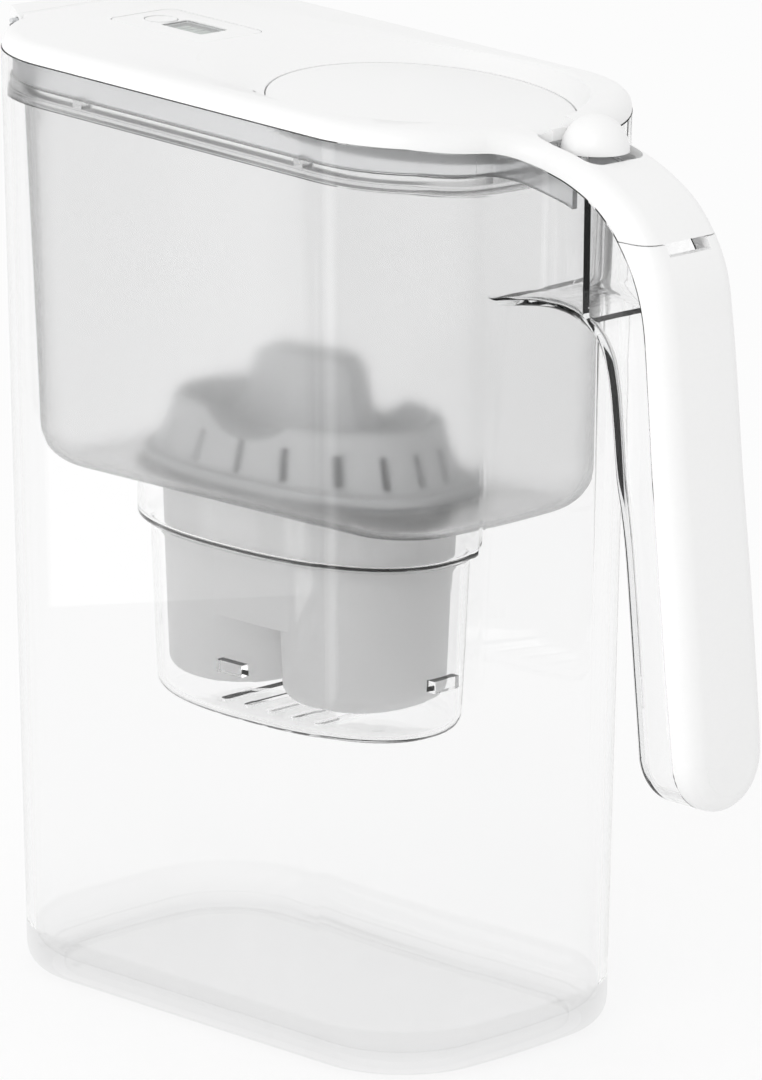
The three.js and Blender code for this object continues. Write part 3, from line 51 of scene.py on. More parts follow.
# A ring stack becomes a closed mesh: quads between neighbouring rings, one face on each end. A first ring of
# mirrored halves may be closed by rungs across the middle plane instead
def solidFromRings(name, rings, rungs=False):
    rings = np.asarray(rings, float)
    if rungs:
        rings = np.concatenate([rings[:1] * [1, 0, 1], rings])
    count, around = rings.shape[:2]
    points = rings.reshape(-1, 3) + [drawing["shift"], 0, 0]
    step = np.arange(around)
    row = (np.arange(count - 1) * around)[:, None]
    following = (step + 1) % around
    quads = np.stack([row + step, row + following, row + around + following, row + around + step], 2)
    faces = quads.reshape(-1, 4).tolist()
    if not rungs:
        faces.append(step[::-1].tolist())
    faces.append((step + (count - 1) * around).tolist())
    mesh = bpy.data.meshes.new(name)
    mesh.from_pydata((points / drawing["perMetre"]).tolist(), [], faces)
    shape = bmesh.new()
    shape.from_mesh(mesh)
    bmesh.ops.remove_doubles(shape, verts=shape.verts, dist=drawing["merge"])
    bmesh.ops.recalc_face_normals(shape, faces=shape.faces)
    shape.to_mesh(mesh)
    shape.free()
    piece = bpy.data.objects.new(name, mesh)
    bpy.context.scene.collection.objects.link(piece)
    return piece


def combine(piece, operation, *tools):
    for tool in tools:
        step = piece.modifiers.new("combine", "BOOLEAN")
        step.operation = operation
        step.solver = "MANIFOLD"
        step.object = tool
    graph = bpy.context.evaluated_depsgraph_get()
    made = bpy.data.meshes.new_from_object(piece.evaluated_get(graph))
    piece.modifiers.clear()
    old = piece.data
    piece.data = made
    bpy.data.meshes.remove(old)
    for tool in tools:
        bpy.data.objects.remove(tool)
    return piece


def join(piece, *tools):
    return combine(piece, "UNION", *tools)


def cut(piece, *tools):
    return combine(piece, "DIFFERENCE", *tools)


def meet(piece, *tools):
    return combine(piece, "INTERSECT", *tools)


def copyOf(piece):
    double = piece.copy()
    double.data = piece.data.copy()
    bpy.context.scene.collection.objects.link(double)
    return double


# Smooth shading, with a crease wherever two faces meet at more than an angle
def finishPiece(piece, name, body, material, node):
    shape = bmesh.new()
    shape.from_mesh(piece.data)
    bmesh.ops.remove_doubles(shape, verts=shape.verts, dist=drawing["weld"])
    bmesh.ops.dissolve_degenerate(shape, edges=shape.edges, dist=drawing["weld"])
    shape.to_mesh(piece.data)
    shape.free()
    piece.name = name
    piece.data.name = name
    piece.data.shade_smooth()
    piece.data.set_sharp_from_angle(angle=math.radians(drawing["crease"]))
    piece.data.materials.clear()
    piece.data.materials.append(material)
    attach(piece, body)
    if node:
        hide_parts(node)
    print("made", name, len(piece.data.polygons), "faces")


def turnsOf(start, end, steps):
    return np.linspace(start, end, steps + 1)


def fullTurn(steps):
    return turnsOf(0, 2 * np.pi, steps)[:-1]


# A rounded edge as pairs: how far it has risen, 1 - cos t, and how far it is still drawn in, 1 - sin t
def quarterRound(steps=8):
    turn = turnsOf(0, np.pi / 2, steps)
    return list(zip(1 - np.cos(turn), 1 - np.sin(turn)))


# Points of an outline, raised: height is a number or a rule of x
def raised(outline, height):
    outline = np.asarray(outline, float)
    z = height(outline[:, 0]) if callable(height) else np.full(len(outline), float(height))
    return np.column_stack([outline, z])


def roundedPlan(x, y, length, width, corner, steps=6):
    turn = np.concatenate([turnsOf(k * np.pi / 2, (k + 1) * np.pi / 2, steps) for k in range(4)])
    sideX = np.repeat([1, -1, -1, 1], steps + 1)
    sideY = np.repeat([1, 1, -1, -1], steps + 1)
    return np.column_stack([
        x + sideX * (length / 2 - corner) + corner * np.cos(turn),
        y + sideY * (width / 2 - corner) + corner * np.sin(turn),
    ])


def prism(name, outline, low, high):
    return solidFromRings(name, [raised(outline, low), raised(outline, high)])


def block(name, x, y, z, length, width, height):
    outline = np.array([[1, 1], [-1, 1], [-1, -1], [1, -1]]) * [length / 2, width / 2] + [x, y]
    return prism(name, outline, z - height / 2, z + height / 2)


# All that lies above a height, and all that lies below it
def allAbove(name, z, width=far):
    return block(name, 0, 0, z + far / 2, 2 * far, width, far)


def allBelow(name, z):
    return block(name, 0, 0, z - far / 2, 2 * far, far, far)


# A bar round the y axis or the z axis
def bar(name, radius, length, axis, x, y, z, steps=48):
    a, b = radius * np.cos(fullTurn(steps)), radius * np.sin(fullTurn(steps))
    ends = []
    for end in (-length / 2, length / 2):
        flat = np.full(steps, end)
        ends.append(np.column_stack((a, flat, b) if axis == "y" else (a, b, flat)) + [x, y, z])
    return solidFromRings(name, ends)


# A plate of a side outline in x and z, of half a width either side of the middle plane
def sidePlate(name, outline, halfWidth, y=0.0):
    outline = np.asarray(outline, float)
    rings = [np.column_stack([outline[:, 0], np.full(len(outline), y + side * halfWidth), outline[:, 1]])
             for side in (-1, 1)]
    return solidFromRings(name, rings)


# Ellipsoid from pole to pole: rings of radius cos t at height sin t, with a small flat of an angle at each pole
def ball(name, x, y, z, a, b, c, rows=40, steps=80, flat=0.02):
    pole, turn = np.pi / 2 - flat, fullTurn(steps)
    rings = [np.column_stack([x + a * math.cos(t) * np.cos(turn), y + b * math.cos(t) * np.sin(turn),
                              np.full(steps, z + c * math.sin(t))]) for t in np.linspace(-pole, pole, rows)]
    return solidFromRings(name, rings)


# Jug: straight sides, round corners and bulged ends, all a little wider at the rim
jug = {
    "floorLength": 85.3, "floorWidth": 50.4, "floorCorner": 32.4, "bulge": 240.0, "rimFront": 92.8,
    "rimBack": 88.4, "rimWidth": 54.0, "height": 262.2, "slope": 0.045, "wall": 2.4, "rimWall": 1.5,
    "floor": 3.4, "fillet": 7.0, "recess": 2.2, "land": 3.6, "ledge": 12.0, "ahead": 35.0,
    "cornerSteps": 18, "bulgeSteps": 5,
}
aboveRim = jug["height"] + 3 * run


# The rounded corner of the plan at a height: middle of the end's bulge, then the corner's radius and middle
def planCorner(height, rim):
    share = height / jug["height"]
    wider = (jug["rimWidth"] - jug["floorWidth"]) * share
    radius = jug["floorCorner"] + wider
    y = jug["floorWidth"] + wider - radius
    bulgeX = jug["floorLength"] + (rim - jug["floorLength"]) * share - jug["bulge"]
    return bulgeX, radius, bulgeX + math.sqrt((jug["bulge"] - radius) ** 2 - y ** 2), y


# The plan at a height: a quarter is an arc of the bulge and an arc of the corner, mirrored twice
def jugPlan(height, inset=0.0):
    def quarter(rim):
        bulgeX, radius, x, y = planCorner(height, rim)
        turn = math.atan2(y, x - bulgeX)
        a = turnsOf(0, turn, jug["bulgeSteps"])
        b = turnsOf(turn, np.pi / 2, jug["cornerSteps"])[1:]
        bulge, corner = jug["bulge"] - inset, radius - inset
        return np.column_stack([
            np.concatenate([bulgeX + bulge * np.cos(a), x + corner * np.cos(b)]),
            np.concatenate([bulge * np.sin(a), y + corner * np.sin(b)]),
        ])

    back, front = quarter(jug["rimBack"]), quarter(jug["rimFront"])
    return np.concatenate([
        back, (front * [-1, 1])[::-1][:-1], front * [-1, -1], (back * [1, -1])[::-1][:-1],
    ])


def jugForm(name, low, high, inset):
    return solidFromRings(name, [raised(jugPlan(z, inset), z) for z in (low, high)])


# A rounded foot: inset and height go round a quarter circle, then straight up
def footedForm(name, inset, low, fillet, top, topInset=None, steps=8):
    rings = [raised(jugPlan(low + fillet * rise, inset + fillet * draw), low + fillet * rise)
             for rise, draw in quarterRound(steps)]
    rings.append(raised(jugPlan(top, inset if topInset is None else topInset), top))
    return solidFromRings(name, rings)


# Handle rails from the side: underside, seam edge and crown, as shares of the reach and of the height
handle = {
    "reach": 67.9, "halfWidth": 14.5, "rounding": 5.0, "wall": 2.4, "coverWall": 2.2, "insideRound": 3.0,
    "seam": 0.906 * jug["height"], "seamStation": 6, "coverStation": 5, "tongueStation": 7, "railSteps": 12,
    "neckFillet": 14.0, "neckDepth": 23.5, "notch": (8.0, 3.2, 2.6),
    "rails": np.array([
        [[-0.18, 0.814], [-0.18, 0.987], [-0.18, 1.007]],
        [[-0.035, 0.817], [-0.035, 0.979], [-0.035, 0.999]],
        [[0.1, 0.819], [0.105, 0.966], [0.11, 0.99]],
        [[0.22, 0.818], [0.26, 0.955], [0.29, 0.98]],
        [[0.325, 0.811], [0.39, 0.94], [0.45, 0.964]],
        [[0.41, 0.797], [0.48, 0.923], [0.6, 0.939]],
        [[0.462, 0.777], [0.55, 0.903], [0.707, 0.906]],
        [[0.49, 0.748], [0.63, 0.87], [0.777, 0.868]],
        [[0.508, 0.71], [0.683, 0.828], [0.81, 0.819]],
        [[0.53, 0.656], [0.713, 0.76], [0.842, 0.752]],
        [[0.55, 0.622], [0.745, 0.672], [0.877, 0.666]],
        [[0.58, 0.565], [0.79, 0.567], [0.927, 0.563]],
        [[0.622, 0.466], [0.834, 0.466], [0.969, 0.462]],
        [[0.655, 0.389], [0.87, 0.393], [0.995, 0.389]],
        [[0.68, 0.324], [0.9, 0.324], [1, 0.324]],
    ]),
}
lastStation = len(handle["rails"]) - 1


# A rail is a uniform spline through its points; offset moves it sideways, outwards from the hand
def besideRail(k, station, offset=0.0):
    rail = handle["rails"][:, k] * [handle["reach"], jug["height"]] + [jug["rimBack"], 0]
    aside = 1e-3  # of a station, to find the rail's direction

    def at(s):
        s = np.clip(np.asarray(s, float), 0, lastStation)
        i = np.minimum(s.astype(int), lastStation - 1)
        t = (s - i)[..., None]
        before, a = rail[np.maximum(i - 1, 0)], rail[i]
        b, after = rail[np.minimum(i + 1, lastStation)], rail[np.minimum(i + 2, lastStation)]
        u, v = (b - before) / 2, (after - a) / 2
        return (2 * a - 2 * b + u + v) * t ** 3 + (3 * b - 3 * a - 2 * u - v) * t ** 2 + u * t + a

    along = at(np.asarray(station) + aside) - at(np.asarray(station) - aside)
    along /= np.linalg.norm(along, axis=-1, keepdims=True)
    return at(station) + np.stack([-along[..., 1], along[..., 0]], -1) * offset


railStations = turnsOf(0, lastStation, handle["railSteps"] * lastStation)
underRail, seamRail, crownRail = (besideRail(k, railStations) for k in range(3))
shoulderX = seamRail[0, 0]


def rimPlane(x):
    return jug["height"] - jug["slope"] * np.asarray(x, float)


def rimLine(x):
    return np.where(x <= shoulderX, rimPlane(x), np.interp(x, seamRail[:, 0], seamRail[:, 1]))


def lidLine(x):
    flat = rimPlane(x) + lid["rise"]
    return np.where(x <= shoulderX, flat, np.interp(x, crownRail[:, 0], crownRail[:, 1]))


def underLine(x):
    return np.interp(x, underRail[:, 0], underRail[:, 1])


# All that lies under a line that runs straight to the shoulder and on along a rail
def underProfile(name, line, rail, shift, offset):
    front = -jug["rimFront"] - jug["ahead"]
    outline = np.concatenate([
        [[front, float(line(front))]], rail, [[rail[-1, 0], -far / 2], [front, -far / 2]],
    ])
    return sidePlate(name, outline + [shift, offset], jug["rimWidth"] + run)


def underRim(name, offset, shift=0.0):
    return underProfile(name, rimPlane, seamRail, shift, offset)


def underLid(name, offset):
    return underProfile(name, lidLine, crownRail, 0, offset)


# A rounded rectangle carried down the handle between two rails
def handleForm(name, first, last, inner, outer, halfWidth, innerRound, outerRound, steps=8, turnSteps=7):
    stations = turnsOf(first, last, int(round((last - first) * steps)))
    a, b = besideRail(inner[0], stations, inner[1]), besideRail(outer[0], stations, outer[1])
    depth = np.linalg.norm(b - a, axis=1)
    corners = [(1, 1, outerRound), (-1, 1, innerRound), (-1, -1, innerRound), (1, -1, outerRound)]
    sections = []
    for sideU, sideV, radius in corners:
        start = math.atan2(sideV, sideU) - np.pi / 4
        turn = turnsOf(start, start + np.pi / 2, turnSteps if radius else 1)
        base = depth if sideU > 0 else np.zeros_like(depth)
        u = base[:, None] - sideU * radius + radius * np.cos(turn)
        v = sideV * (halfWidth - radius) + radius * np.sin(turn)
        corner = np.stack([u, np.broadcast_to(v, u.shape)], -1)
        sections.append(corner if radius else corner[:, :1])
    section = np.concatenate(sections, 1)
    share = (section[..., 0] / depth[:, None])[..., None]
    place = a[:, None] * (1 - share) + b[:, None] * share
    return solidFromRings(name, np.stack([place[..., 0], section[..., 1], place[..., 1]], -1))


# What lies inside the handle's round lower end: a U seen from behind, its edges round towards both faces
def handleEnd(name, inset, steps=8, endSteps=36):
    radius, rounding = handle["halfWidth"] - inset, handle["rounding"] - inset
    foot = besideRail(1, lastStation)[1] + handle["halfWidth"]

    def faceOf(k, offset):
        end, before = besideRail(k, lastStation, offset), besideRail(k, lastStation - 1, offset)
        return lambda z: end[0] + (z - end[1]) * (before[0] - end[0]) / (before[1] - end[1])

    def ring(face, depth, drawn):
        side = radius - drawn
        turn = turnsOf(np.pi, 2 * np.pi, endSteps)
        y = np.concatenate([side * np.cos(turn), [side, -side]])
        z = np.concatenate([foot + side * np.sin(turn), [foot + run, foot + run]])
        return np.column_stack([face(z) + depth, y, z])

    under, crown = faceOf(0, inset), faceOf(2, -inset)
    rounds = rounding * np.array(quarterRound(steps))
    rings = [ring(under, -run, rounding)] + [ring(under, depth, drawn) for depth, drawn in rounds]
    rings += [ring(crown, -depth, drawn) for depth, drawn in rounds[::-1]] + [ring(crown, run, rounding)]
    return join(solidFromRings(name, rings), allAbove("above", foot, 2 * radius))


# The neck's plan where the handle leaves the jug's end: arcs that touch the jug's corners, then the
# handle's sides
def neckPlan(height, inset, reach, steps=16, sideSteps=6):
    _, corner, cornerX, cornerY = planCorner(height, jug["rimBack"])
    fillet, y = handle["neckFillet"], handle["halfWidth"] + handle["neckFillet"]
    x = cornerX + math.sqrt((corner + fillet) ** 2 - (y - cornerY) ** 2)
    turn = turnsOf(math.atan2(y - cornerY, x - cornerX) - np.pi, -np.pi / 2, steps)
    arc = np.column_stack([x + (fillet + inset) * np.cos(turn), y + (fillet + inset) * np.sin(turn)])
    straight = turnsOf(x, jug["rimBack"] + reach, sideSteps)[1:]
    side = np.column_stack([straight, np.full(sideSteps, handle["halfWidth"] - inset)])
    upper = np.concatenate([[arc[0] - [2 * run, 0]], arc, side])
    return np.concatenate([upper * [1, -1], upper[::-1]])


# The neck above the handle's underside, its lower edges rounded
def neckForm(name, inset, reach, steps=8):
    rounding = handle["rounding"] - inset
    low = float(underLine(jug["rimBack"]))
    rings = [raised(neckPlan(low, inset + rounding * draw, reach),
                    lambda x: underLine(x) + inset + rounding * rise) for rise, draw in quarterRound(steps)]
    rings.append(raised(neckPlan(aboveRim, inset, reach), aboveRim))
    return solidFromRings(name, rings, True)


beak = {"reach": 8.4, "rootHalf": 33.5, "tipHalf": 25.0, "corner": 5.0, "depth": 33.0}


def beakPlan(reach, inset, steps=8):
    root, tip, corner = beak["rootHalf"] - inset, beak["tipHalf"] - inset, beak["corner"]
    front, back = -jug["rimFront"] - reach + inset, -jug["rimFront"] + 3 * run
    turn = turnsOf(np.pi, np.pi / 2, steps)
    upper = np.column_stack([front + corner * (1 + np.cos(turn)), tip + corner * (np.sin(turn) - 1)])
    return np.concatenate([[[back, -root]], (upper * [1, -1])[::-1], upper, [[back, root]]])


def beakForm(name, inset, steps=10):
    foot = rimPlane(-jug["rimFront"]) - beak["depth"]
    share = turnsOf(0, 1, steps)
    reach = -run / 2 + (beak["reach"] + run / 2) * share
    rings = [raised(beakPlan(r, inset), foot + beak["depth"] * s) for r, s in zip(reach, share)]
    rings.append(raised(beakPlan(beak["reach"], inset), aboveRim))
    return solidFromRings(name, rings)


def makeJug():
    half, wall, neckDepth = handle["halfWidth"], handle["wall"], handle["neckDepth"]
    shell = footedForm("jug", 0, 0, jug["fillet"], aboveRim)
    spine = meet(
        handleForm("spine", 0, lastStation, (0, 0), (1, run), half, handle["rounding"], 0),
        handleEnd("end", 0),
    )
    join(shell, spine, neckForm("neck", 0, neckDepth), beakForm("beak", 0))
    cavity = footedForm("cavity", jug["wall"], jug["recess"] + jug["floor"], jug["fillet"], aboveRim + over)
    rebate = cut(jugForm("rebate", far / 4, aboveRim + 2 * over, jug["rimWall"]),
                 underRim("line", -jug["ledge"]))
    foot = jugForm("foot", -run, jug["recess"], jug["fillet"] + jug["land"])
    throat = neckForm("throat", jug["wall"], neckDepth)
    cut(shell, cavity, throat, beakForm("beak", jug["wall"]), rebate, foot)
    webBack = jug["rimBack"] + neckDepth + wall
    channel = cut(
        meet(handleForm("channel", 0, lastStation, (0, wall), (1, 2 * run), half - wall,
                        handle["insideRound"], 0), handleEnd("end", wall)),
        block("before", webBack - far / 2, 0, far / 2, far, far, far),
    )
    cut(shell, channel)
    return meet(shell, underRim("line", 0))


def makeCover():
    half, wall, first = handle["halfWidth"], handle["coverWall"], handle["coverStation"]
    below = allBelow("below", handle["seam"] - fit / 2)
    cover = meet(
        handleForm("cover", first, lastStation, (1, fit), (2, 0), half, 0, handle["rounding"],
                   steps=10, turnSteps=9),
        handleEnd("end", 0), copyOf(below),
    )
    inside = meet(
        handleForm("inside", first, lastStation, (1, -run), (2, -wall), half - wall, 0, handle["insideRound"]),
        handleEnd("end", wall), below,
    )
    notchHalf, high, deep = handle["notch"]
    notch = block("notch", besideRail(2, handle["seamStation"])[0], 0, handle["seam"] - high / 2,
                  2 * deep, 2 * notchHalf, high)
    return cut(cover, inside, notch)


hopper = {
    "flangeInset": 1.9, "flange": 1.8, "rimWall": 1.6, "rimGap": 0.5, "wallInset": 5.6, "footInset": 8.2,
    "wall": 1.9, "bottom": 148.0, "fillet": 12.0, "ribWidth": 3.4, "ribX": 42.9, "pourHalf": 24.0,
    "middle": -2.2, "hole": (51.9, 29.3), "footSteps": 14,
}


# Superellipse plan of the well and the cartridge: a cos^(2/p), b sin^(2/p)
def oval(x, halfLength, halfWidth, steps=128, power=2.4):
    cosine, sine = np.cos(fullTurn(steps)), np.sin(fullTurn(steps))
    return np.column_stack([
        x + halfLength * np.sign(cosine) * np.abs(cosine) ** (2 / power),
        halfWidth * np.sign(sine) * np.abs(sine) ** (2 / power),
    ])


def ovalForm(name, rows, x=hopper["middle"], steps=128):
    return solidFromRings(name, [raised(oval(x, a, b, steps), z) for z, a, b in rows])


# Rounds each corner of a profile [z, length, width]: an arc step by step between the two straight runs
def easedRows(rows, radii, steps=6, most=0.48):
    rows = np.array(rows, float)
    t = np.linspace(0, 1, steps)[:, None]
    made = [rows[0]]
    for before, corner, after, radius in zip(rows[:-2], rows[1:-1], rows[2:], radii):
        towards, away = before - corner, after - corner
        a = corner + towards * min(most, radius / np.linalg.norm(towards))
        b = corner + away * min(most, radius / np.linalg.norm(away))
        made.extend((1 - t) ** 2 * a + 2 * t * (1 - t) * corner + t ** 2 * b)
    made.append(rows[-1])
    return made


def makeHopper():
    h, high, steps = hopper, jug["height"], hopper["footSteps"]
    outer = footedForm("tray", h["footInset"], h["bottom"], h["fillet"], aboveRim, h["wallInset"], steps)
    inner = footedForm("inner", h["footInset"] + h["wall"], h["bottom"] + h["wall"], h["fillet"] - h["wall"],
                       aboveRim + 2 * over, h["wallInset"] + h["wall"], steps)
    line, rimTop, rimInset = -jug["ledge"] + fit, -lid["ringDrop"] - fit, h["flangeInset"] + h["rimGap"]
    notch = block("notch", -jug["rimFront"], 0, high, 2 * jug["rimFront"], 2 * h["pourHalf"], high)
    flange = cut(
        meet(jugForm("flange", high / 2, aboveRim, h["flangeInset"]), underRim("high", line + h["flange"])),
        underRim("low", line), copyOf(inner),
    )
    rim = cut(
        meet(jugForm("rim", high / 2, aboveRim, rimInset), underRim("high", rimTop)),
        jugForm("inside", high / 3, aboveRim + run, rimInset + h["rimWall"]), underRim("low", line),
    )
    ribs = []
    for x in (-h["ribX"], h["ribX"]):
        for side in (1, -1):
            y = side * (jug["rimWidth"] - h["flangeInset"] - run)
            tick = meet(
                block("rib", x, y, high, h["ribWidth"], run, high),
                jugForm("within", high / 2, aboveRim, h["flangeInset"]), underRim("high", rimTop),
            )
            ribs.append(cut(tick, copyOf(inner), underRim("low", line)))
    ledge = cut(join(flange, rim, *ribs), copyOf(notch))
    pour = meet(copyOf(outer), underRim("high", rimTop), notch)
    tray = cut(join(meet(outer, underRim("high", line + h["flange"])), pour), inner)
    seat = cut(prism("seat", oval(h["middle"], *h["hole"]), 0, aboveRim),
               allAbove("above", h["bottom"] + h["wall"] + run))
    return cut(join(tray, ledge), seat)


well = {
    "collar": (55.8, 33.2), "top": (52.3, 29.7), "foot": (50.4, 27.8), "wall": 1.6, "fillet": 5.0, "step": 2.4,
    "easing": (1.2, 1.2), "collarBottom": 134.6, "bottom": 83.0, "slot": (3.0, 30.0, 9.0), "slotRound": 1.35,
    "lug": (10.0, 3.4, 2.6), "lugRise": 16.8, "lugRound": 0.4,
}


def makeWell():
    w = well
    top, low, middle = hopper["bottom"] - fit, w["bottom"], hopper["middle"]

    def rows(inset, floor, high):
        (ca, cb), (ta, tb), (fa, fb) = (np.array(w[key]) - inset for key in ("collar", "top", "foot"))
        r, step = w["fillet"] - inset, w["collarBottom"] + inset / 2
        foot = [[floor + r * rise, fa - r * draw, fb - r * draw] for rise, draw in quarterRound()]
        side = [foot[-1], [step - w["step"], ta, tb], [step, ca, cb], [high, ca, cb]]
        return foot[:-1] + easedRows(side, w["easing"])

    shell = ovalForm("well", rows(0, low, top))
    inside = ovalForm("inside", rows(w["wall"], low + w["wall"], top + run))
    width, length, pitch = w["slot"]
    slots = [prism("slot", roundedPlan(middle + i * pitch, 0, width, length, w["slotRound"]),
                   low - run, low + run) for i in range(-2, 3)]
    lugLength, lugHeight, lugReach = w["lug"]
    z = low + w["lugRise"]
    share = (w["collarBottom"] - z) / (w["collarBottom"] - low)
    end, side = np.array(w["top"]) * (1 - share) + np.array(w["foot"]) * share
    lugs = []
    for x, y in ((0, side), (0, -side), (end, 0), (-end, 0)):
        sizes = (2 * lugReach, lugLength) if x else (lugLength, 2 * lugReach)
        lugs.append(prism("lug", roundedPlan(middle + x, y, *sizes, w["lugRound"]),
                          z - lugHeight / 2, z + lugHeight / 2))
    return cut(join(shell, *lugs), inside, *slots)


cartridge = {
    "flangeLow": 151.4, "flange": (54.0, 31.4, 3.0), "base": (49.5, 28.0), "top": (43.0, 23.6), "rise": 16.0,
    "wall": 1.8, "deckDrop": 7.0, "easing": (1.2, 1.6, 1.5), "easingSteps": 7, "scallop": (20.0, 6.0),
    "fin": (18.0, 4.6, 186.0, 7.0), "finFoot": 1.35, "finDraw": 0.085, "slots": 18, "slot": (2.2, 9.0, 0.4),
    "bottom": 90.4, "crotch": 111.4, "lobe": (24.0, 23.4, 45.0, 4.0), "fillet": 5.0, "shell": 1.5,
    "hole": (2.2, 6, 11.0), "seal": (1.2, 2.4),
}


# The cap's finger fin: its side outline, drawn in towards both faces' edges by 1 - cos t, so the edge is round
def makeFin(top, steps=10, cornerSteps=12):
    halfLength, halfThick, finTop, corner = cartridge["fin"]
    arc = turnsOf(0, np.pi / 2, cornerSteps)
    foot, low = cartridge["finFoot"] * halfLength, top - cartridge["deckDrop"] - cartridge["wall"]
    shape = np.concatenate([
        np.column_stack([halfLength - corner + corner * np.cos(arc), finTop - corner + corner * np.sin(arc)]),
        np.column_stack([corner - halfLength - corner * np.sin(arc), finTop - corner + corner * np.cos(arc)]),
        [[-foot, low], [foot, low]],
    ]) + [hopper["middle"], 0]
    middle, rings = shape.mean(0), []
    for t in turnsOf(-np.pi / 2, np.pi / 2, steps):
        drawn = middle + (shape - middle) * (1 - cartridge["finDraw"] * (1 - np.cos(t)))
        rings.append(np.column_stack([drawn[:, 0], np.full(len(drawn), halfThick * np.sin(t)), drawn[:, 1]]))
    return solidFromRings("fin", rings)


def makeCap():
    c, w = cartridge, cartridge["wall"]
    low, high = c["flangeLow"], c["flangeLow"] + c["flange"][2]
    top, deck = high + c["rise"], high + c["rise"] - c["deckDrop"]
    (fa, fb, _), (ba, bb), (ta, tb) = c["flange"], c["base"], c["top"]
    outer = ovalForm("cap", easedRows([
        [low, fa, fb], [high, fa, fb], [high, ba, bb], [top, ta + w / 4, tb + w / 4],
        [top, ta - 2.5 * w, tb - 2.5 * w],
    ], c["easing"], c["easingSteps"]))
    under = ovalForm("under", [
        [low - run, ba - w, bb - w], [high, ba - w, bb - w], [deck - w, ta - w, tb - w],
    ])
    hollow = ovalForm("hollow", [
        [deck, ta - 4 * w, tb - 4 * w], [deck + w / 3, ta - 3 * w, tb - 3 * w],
        [deck + w, ta - 2.5 * w, tb - 2.5 * w], [top + run, ta - w / 4, tb - w / 4],
    ])
    radius, depth = c["scallop"]
    turn = fullTurn(steps=120)
    ring = np.column_stack([hopper["middle"] + (radius + depth) * np.cos(turn),
                            top + radius + (radius + depth) * np.sin(turn)])
    scallops = [sidePlate("scallop", ring, tb / 2, side * (tb + run)) for side in (1, -1)]
    width, height, round_ = c["slot"]
    plan = roundedPlan(ba / 2 + run, 0, ba + 2 * run, width, round_)
    slots = []
    for angle in (np.arange(c["slots"]) + 0.5) * 2 * np.pi / c["slots"]:
        heading = math.atan2(math.sin(angle) * bb / ba, math.cos(angle))
        turned = plan @ [[math.cos(heading), math.sin(heading)], [-math.sin(heading), math.cos(heading)]]
        slots.append(prism("slot", turned + [hopper["middle"], 0], high + w / 2, high + w / 2 + height))
    core = ovalForm("core", [[z, ta - 3 * w, tb - 3 * w] for z in (0, jug["height"])])
    vents = cut(join(*slots), core)
    return cut(join(cut(outer, under, hollow, *scallops), makeFin(top)), vents)


# Reach of one lobe at a height
def lobeReach(z, inset):
    a, b, _, taper = cartridge["lobe"]
    share = (z - cartridge["bottom"]) / (cartridge["flangeLow"] - cartridge["bottom"])
    return a - taper * (1 - share) - inset, b - taper * (1 - share) / 4 - inset


# The shell made of two lobes that part under the crotch
def shellForm(name, inset, low, high):
    spacing, r = cartridge["lobe"][2], cartridge["fillet"]
    rows = [[low + r * rise, *lobeReach(low + r * rise, inset + r * draw)] for rise, draw in quarterRound()]
    rows.append([high, *lobeReach(high, inset)])
    lobes = [ovalForm(name, rows, hopper["middle"] + side * spacing / 2, steps=96) for side in (-1, 1)]
    trunk = [[z, lobeReach(z, inset)[0] + spacing / 2, lobeReach(z, inset)[1]]
             for z in (cartridge["crotch"] + inset, high)]
    return join(*lobes, ovalForm(name, trunk))


def makeCartridge():
    c, w, spacing = cartridge, cartridge["shell"], cartridge["lobe"][2]
    top, inward = c["flangeLow"] - fit, c["seal"][1] + fit
    a, b = c["flange"][0] - inward, c["flange"][1] - inward
    reach = lobeReach(top - 3 * w, 0)
    collar = ovalForm("collar", [
        [top - 3 * w, reach[0] + spacing / 2, reach[1]], [top - w, a, b], [top, a, b],
    ])
    radius, count, ringRadius = c["hole"]
    holes = [bar("hole", radius, 4 * w, "z", hopper["middle"] + side * spacing / 2 + ringRadius * math.cos(t),
                 ringRadius * math.sin(t), c["bottom"], steps=24) for side in (-1, 1) for t in fullTurn(count)]
    return cut(join(shellForm("cartridge", 0, c["bottom"], top), collar),
               shellForm("inside", w, c["bottom"] + w, top + run), *holes)


lid = {
    "rise": 5.3, "inset": 0.2, "round": 4.6, "wall": 2.2, "ringInset": 3.2, "ringWall": 1.8, "ringDrop": 7.0,
    "ringRise": 1.4, "ringNotch": 3.0, "roundSteps": 12, "dishSteps": 14,
}
flap = {
    "x": 39.3, "depth": 5.1, "slope": 0.095, "radius": 42.3, "thick": 2.4, "seat": 3.0, "seatThick": 2.0,
    "bowl": 1.5, "dish": 46.4, "dishFront": 33.0, "dishEdge": 0.7, "dishLip": 0.4, "dishPower": 1.5,
    "bevel": 0.55, "hinge": (88.0, 258.0), "neckHalf": 8.5, "neck": 2.6, "neckRise": 2.2, "barrel": 1.9,
    "pin": 0.9, "dome": (103.6, 9.4, 9.0, 266.6, 256.8), "domeWall": 2.0, "domeSteps": (72, 96),
    "pocket": (113.2, 10.6, 4.0), "scoop": (14.5, 3.4, 0.88),
}
timer = {
    "x": -52.5, "plate": (38.0, 24.8, 3.0, 1.6), "bevel": 0.3, "tub": (35.0, 21.4, 2.5, 12.4),
    "lcd": (-49.2, 16.4, 10.6, 1.0), "button": (-62.6, 4.6), "bars": 5, "barSpacing": 6.5, "barWidth": 9,
    "barHeight": 0.55, "barRound": 0.3, "barThick": 0.15,
}
spout = {
    "seam": -89.1, "halfRoot": 29.0, "halfTip": 22.4, "thick": 2.4, "edge": 0.35, "lip": 2.2, "drop": 1.7,
    "barrel": 1.6, "pin": 0.7,
}
spoutAxisX = spout["seam"] - fit - spout["barrel"]
spoutAxisZ = float(rimPlane(spoutAxisX)) + lid["rise"] - spout["drop"]


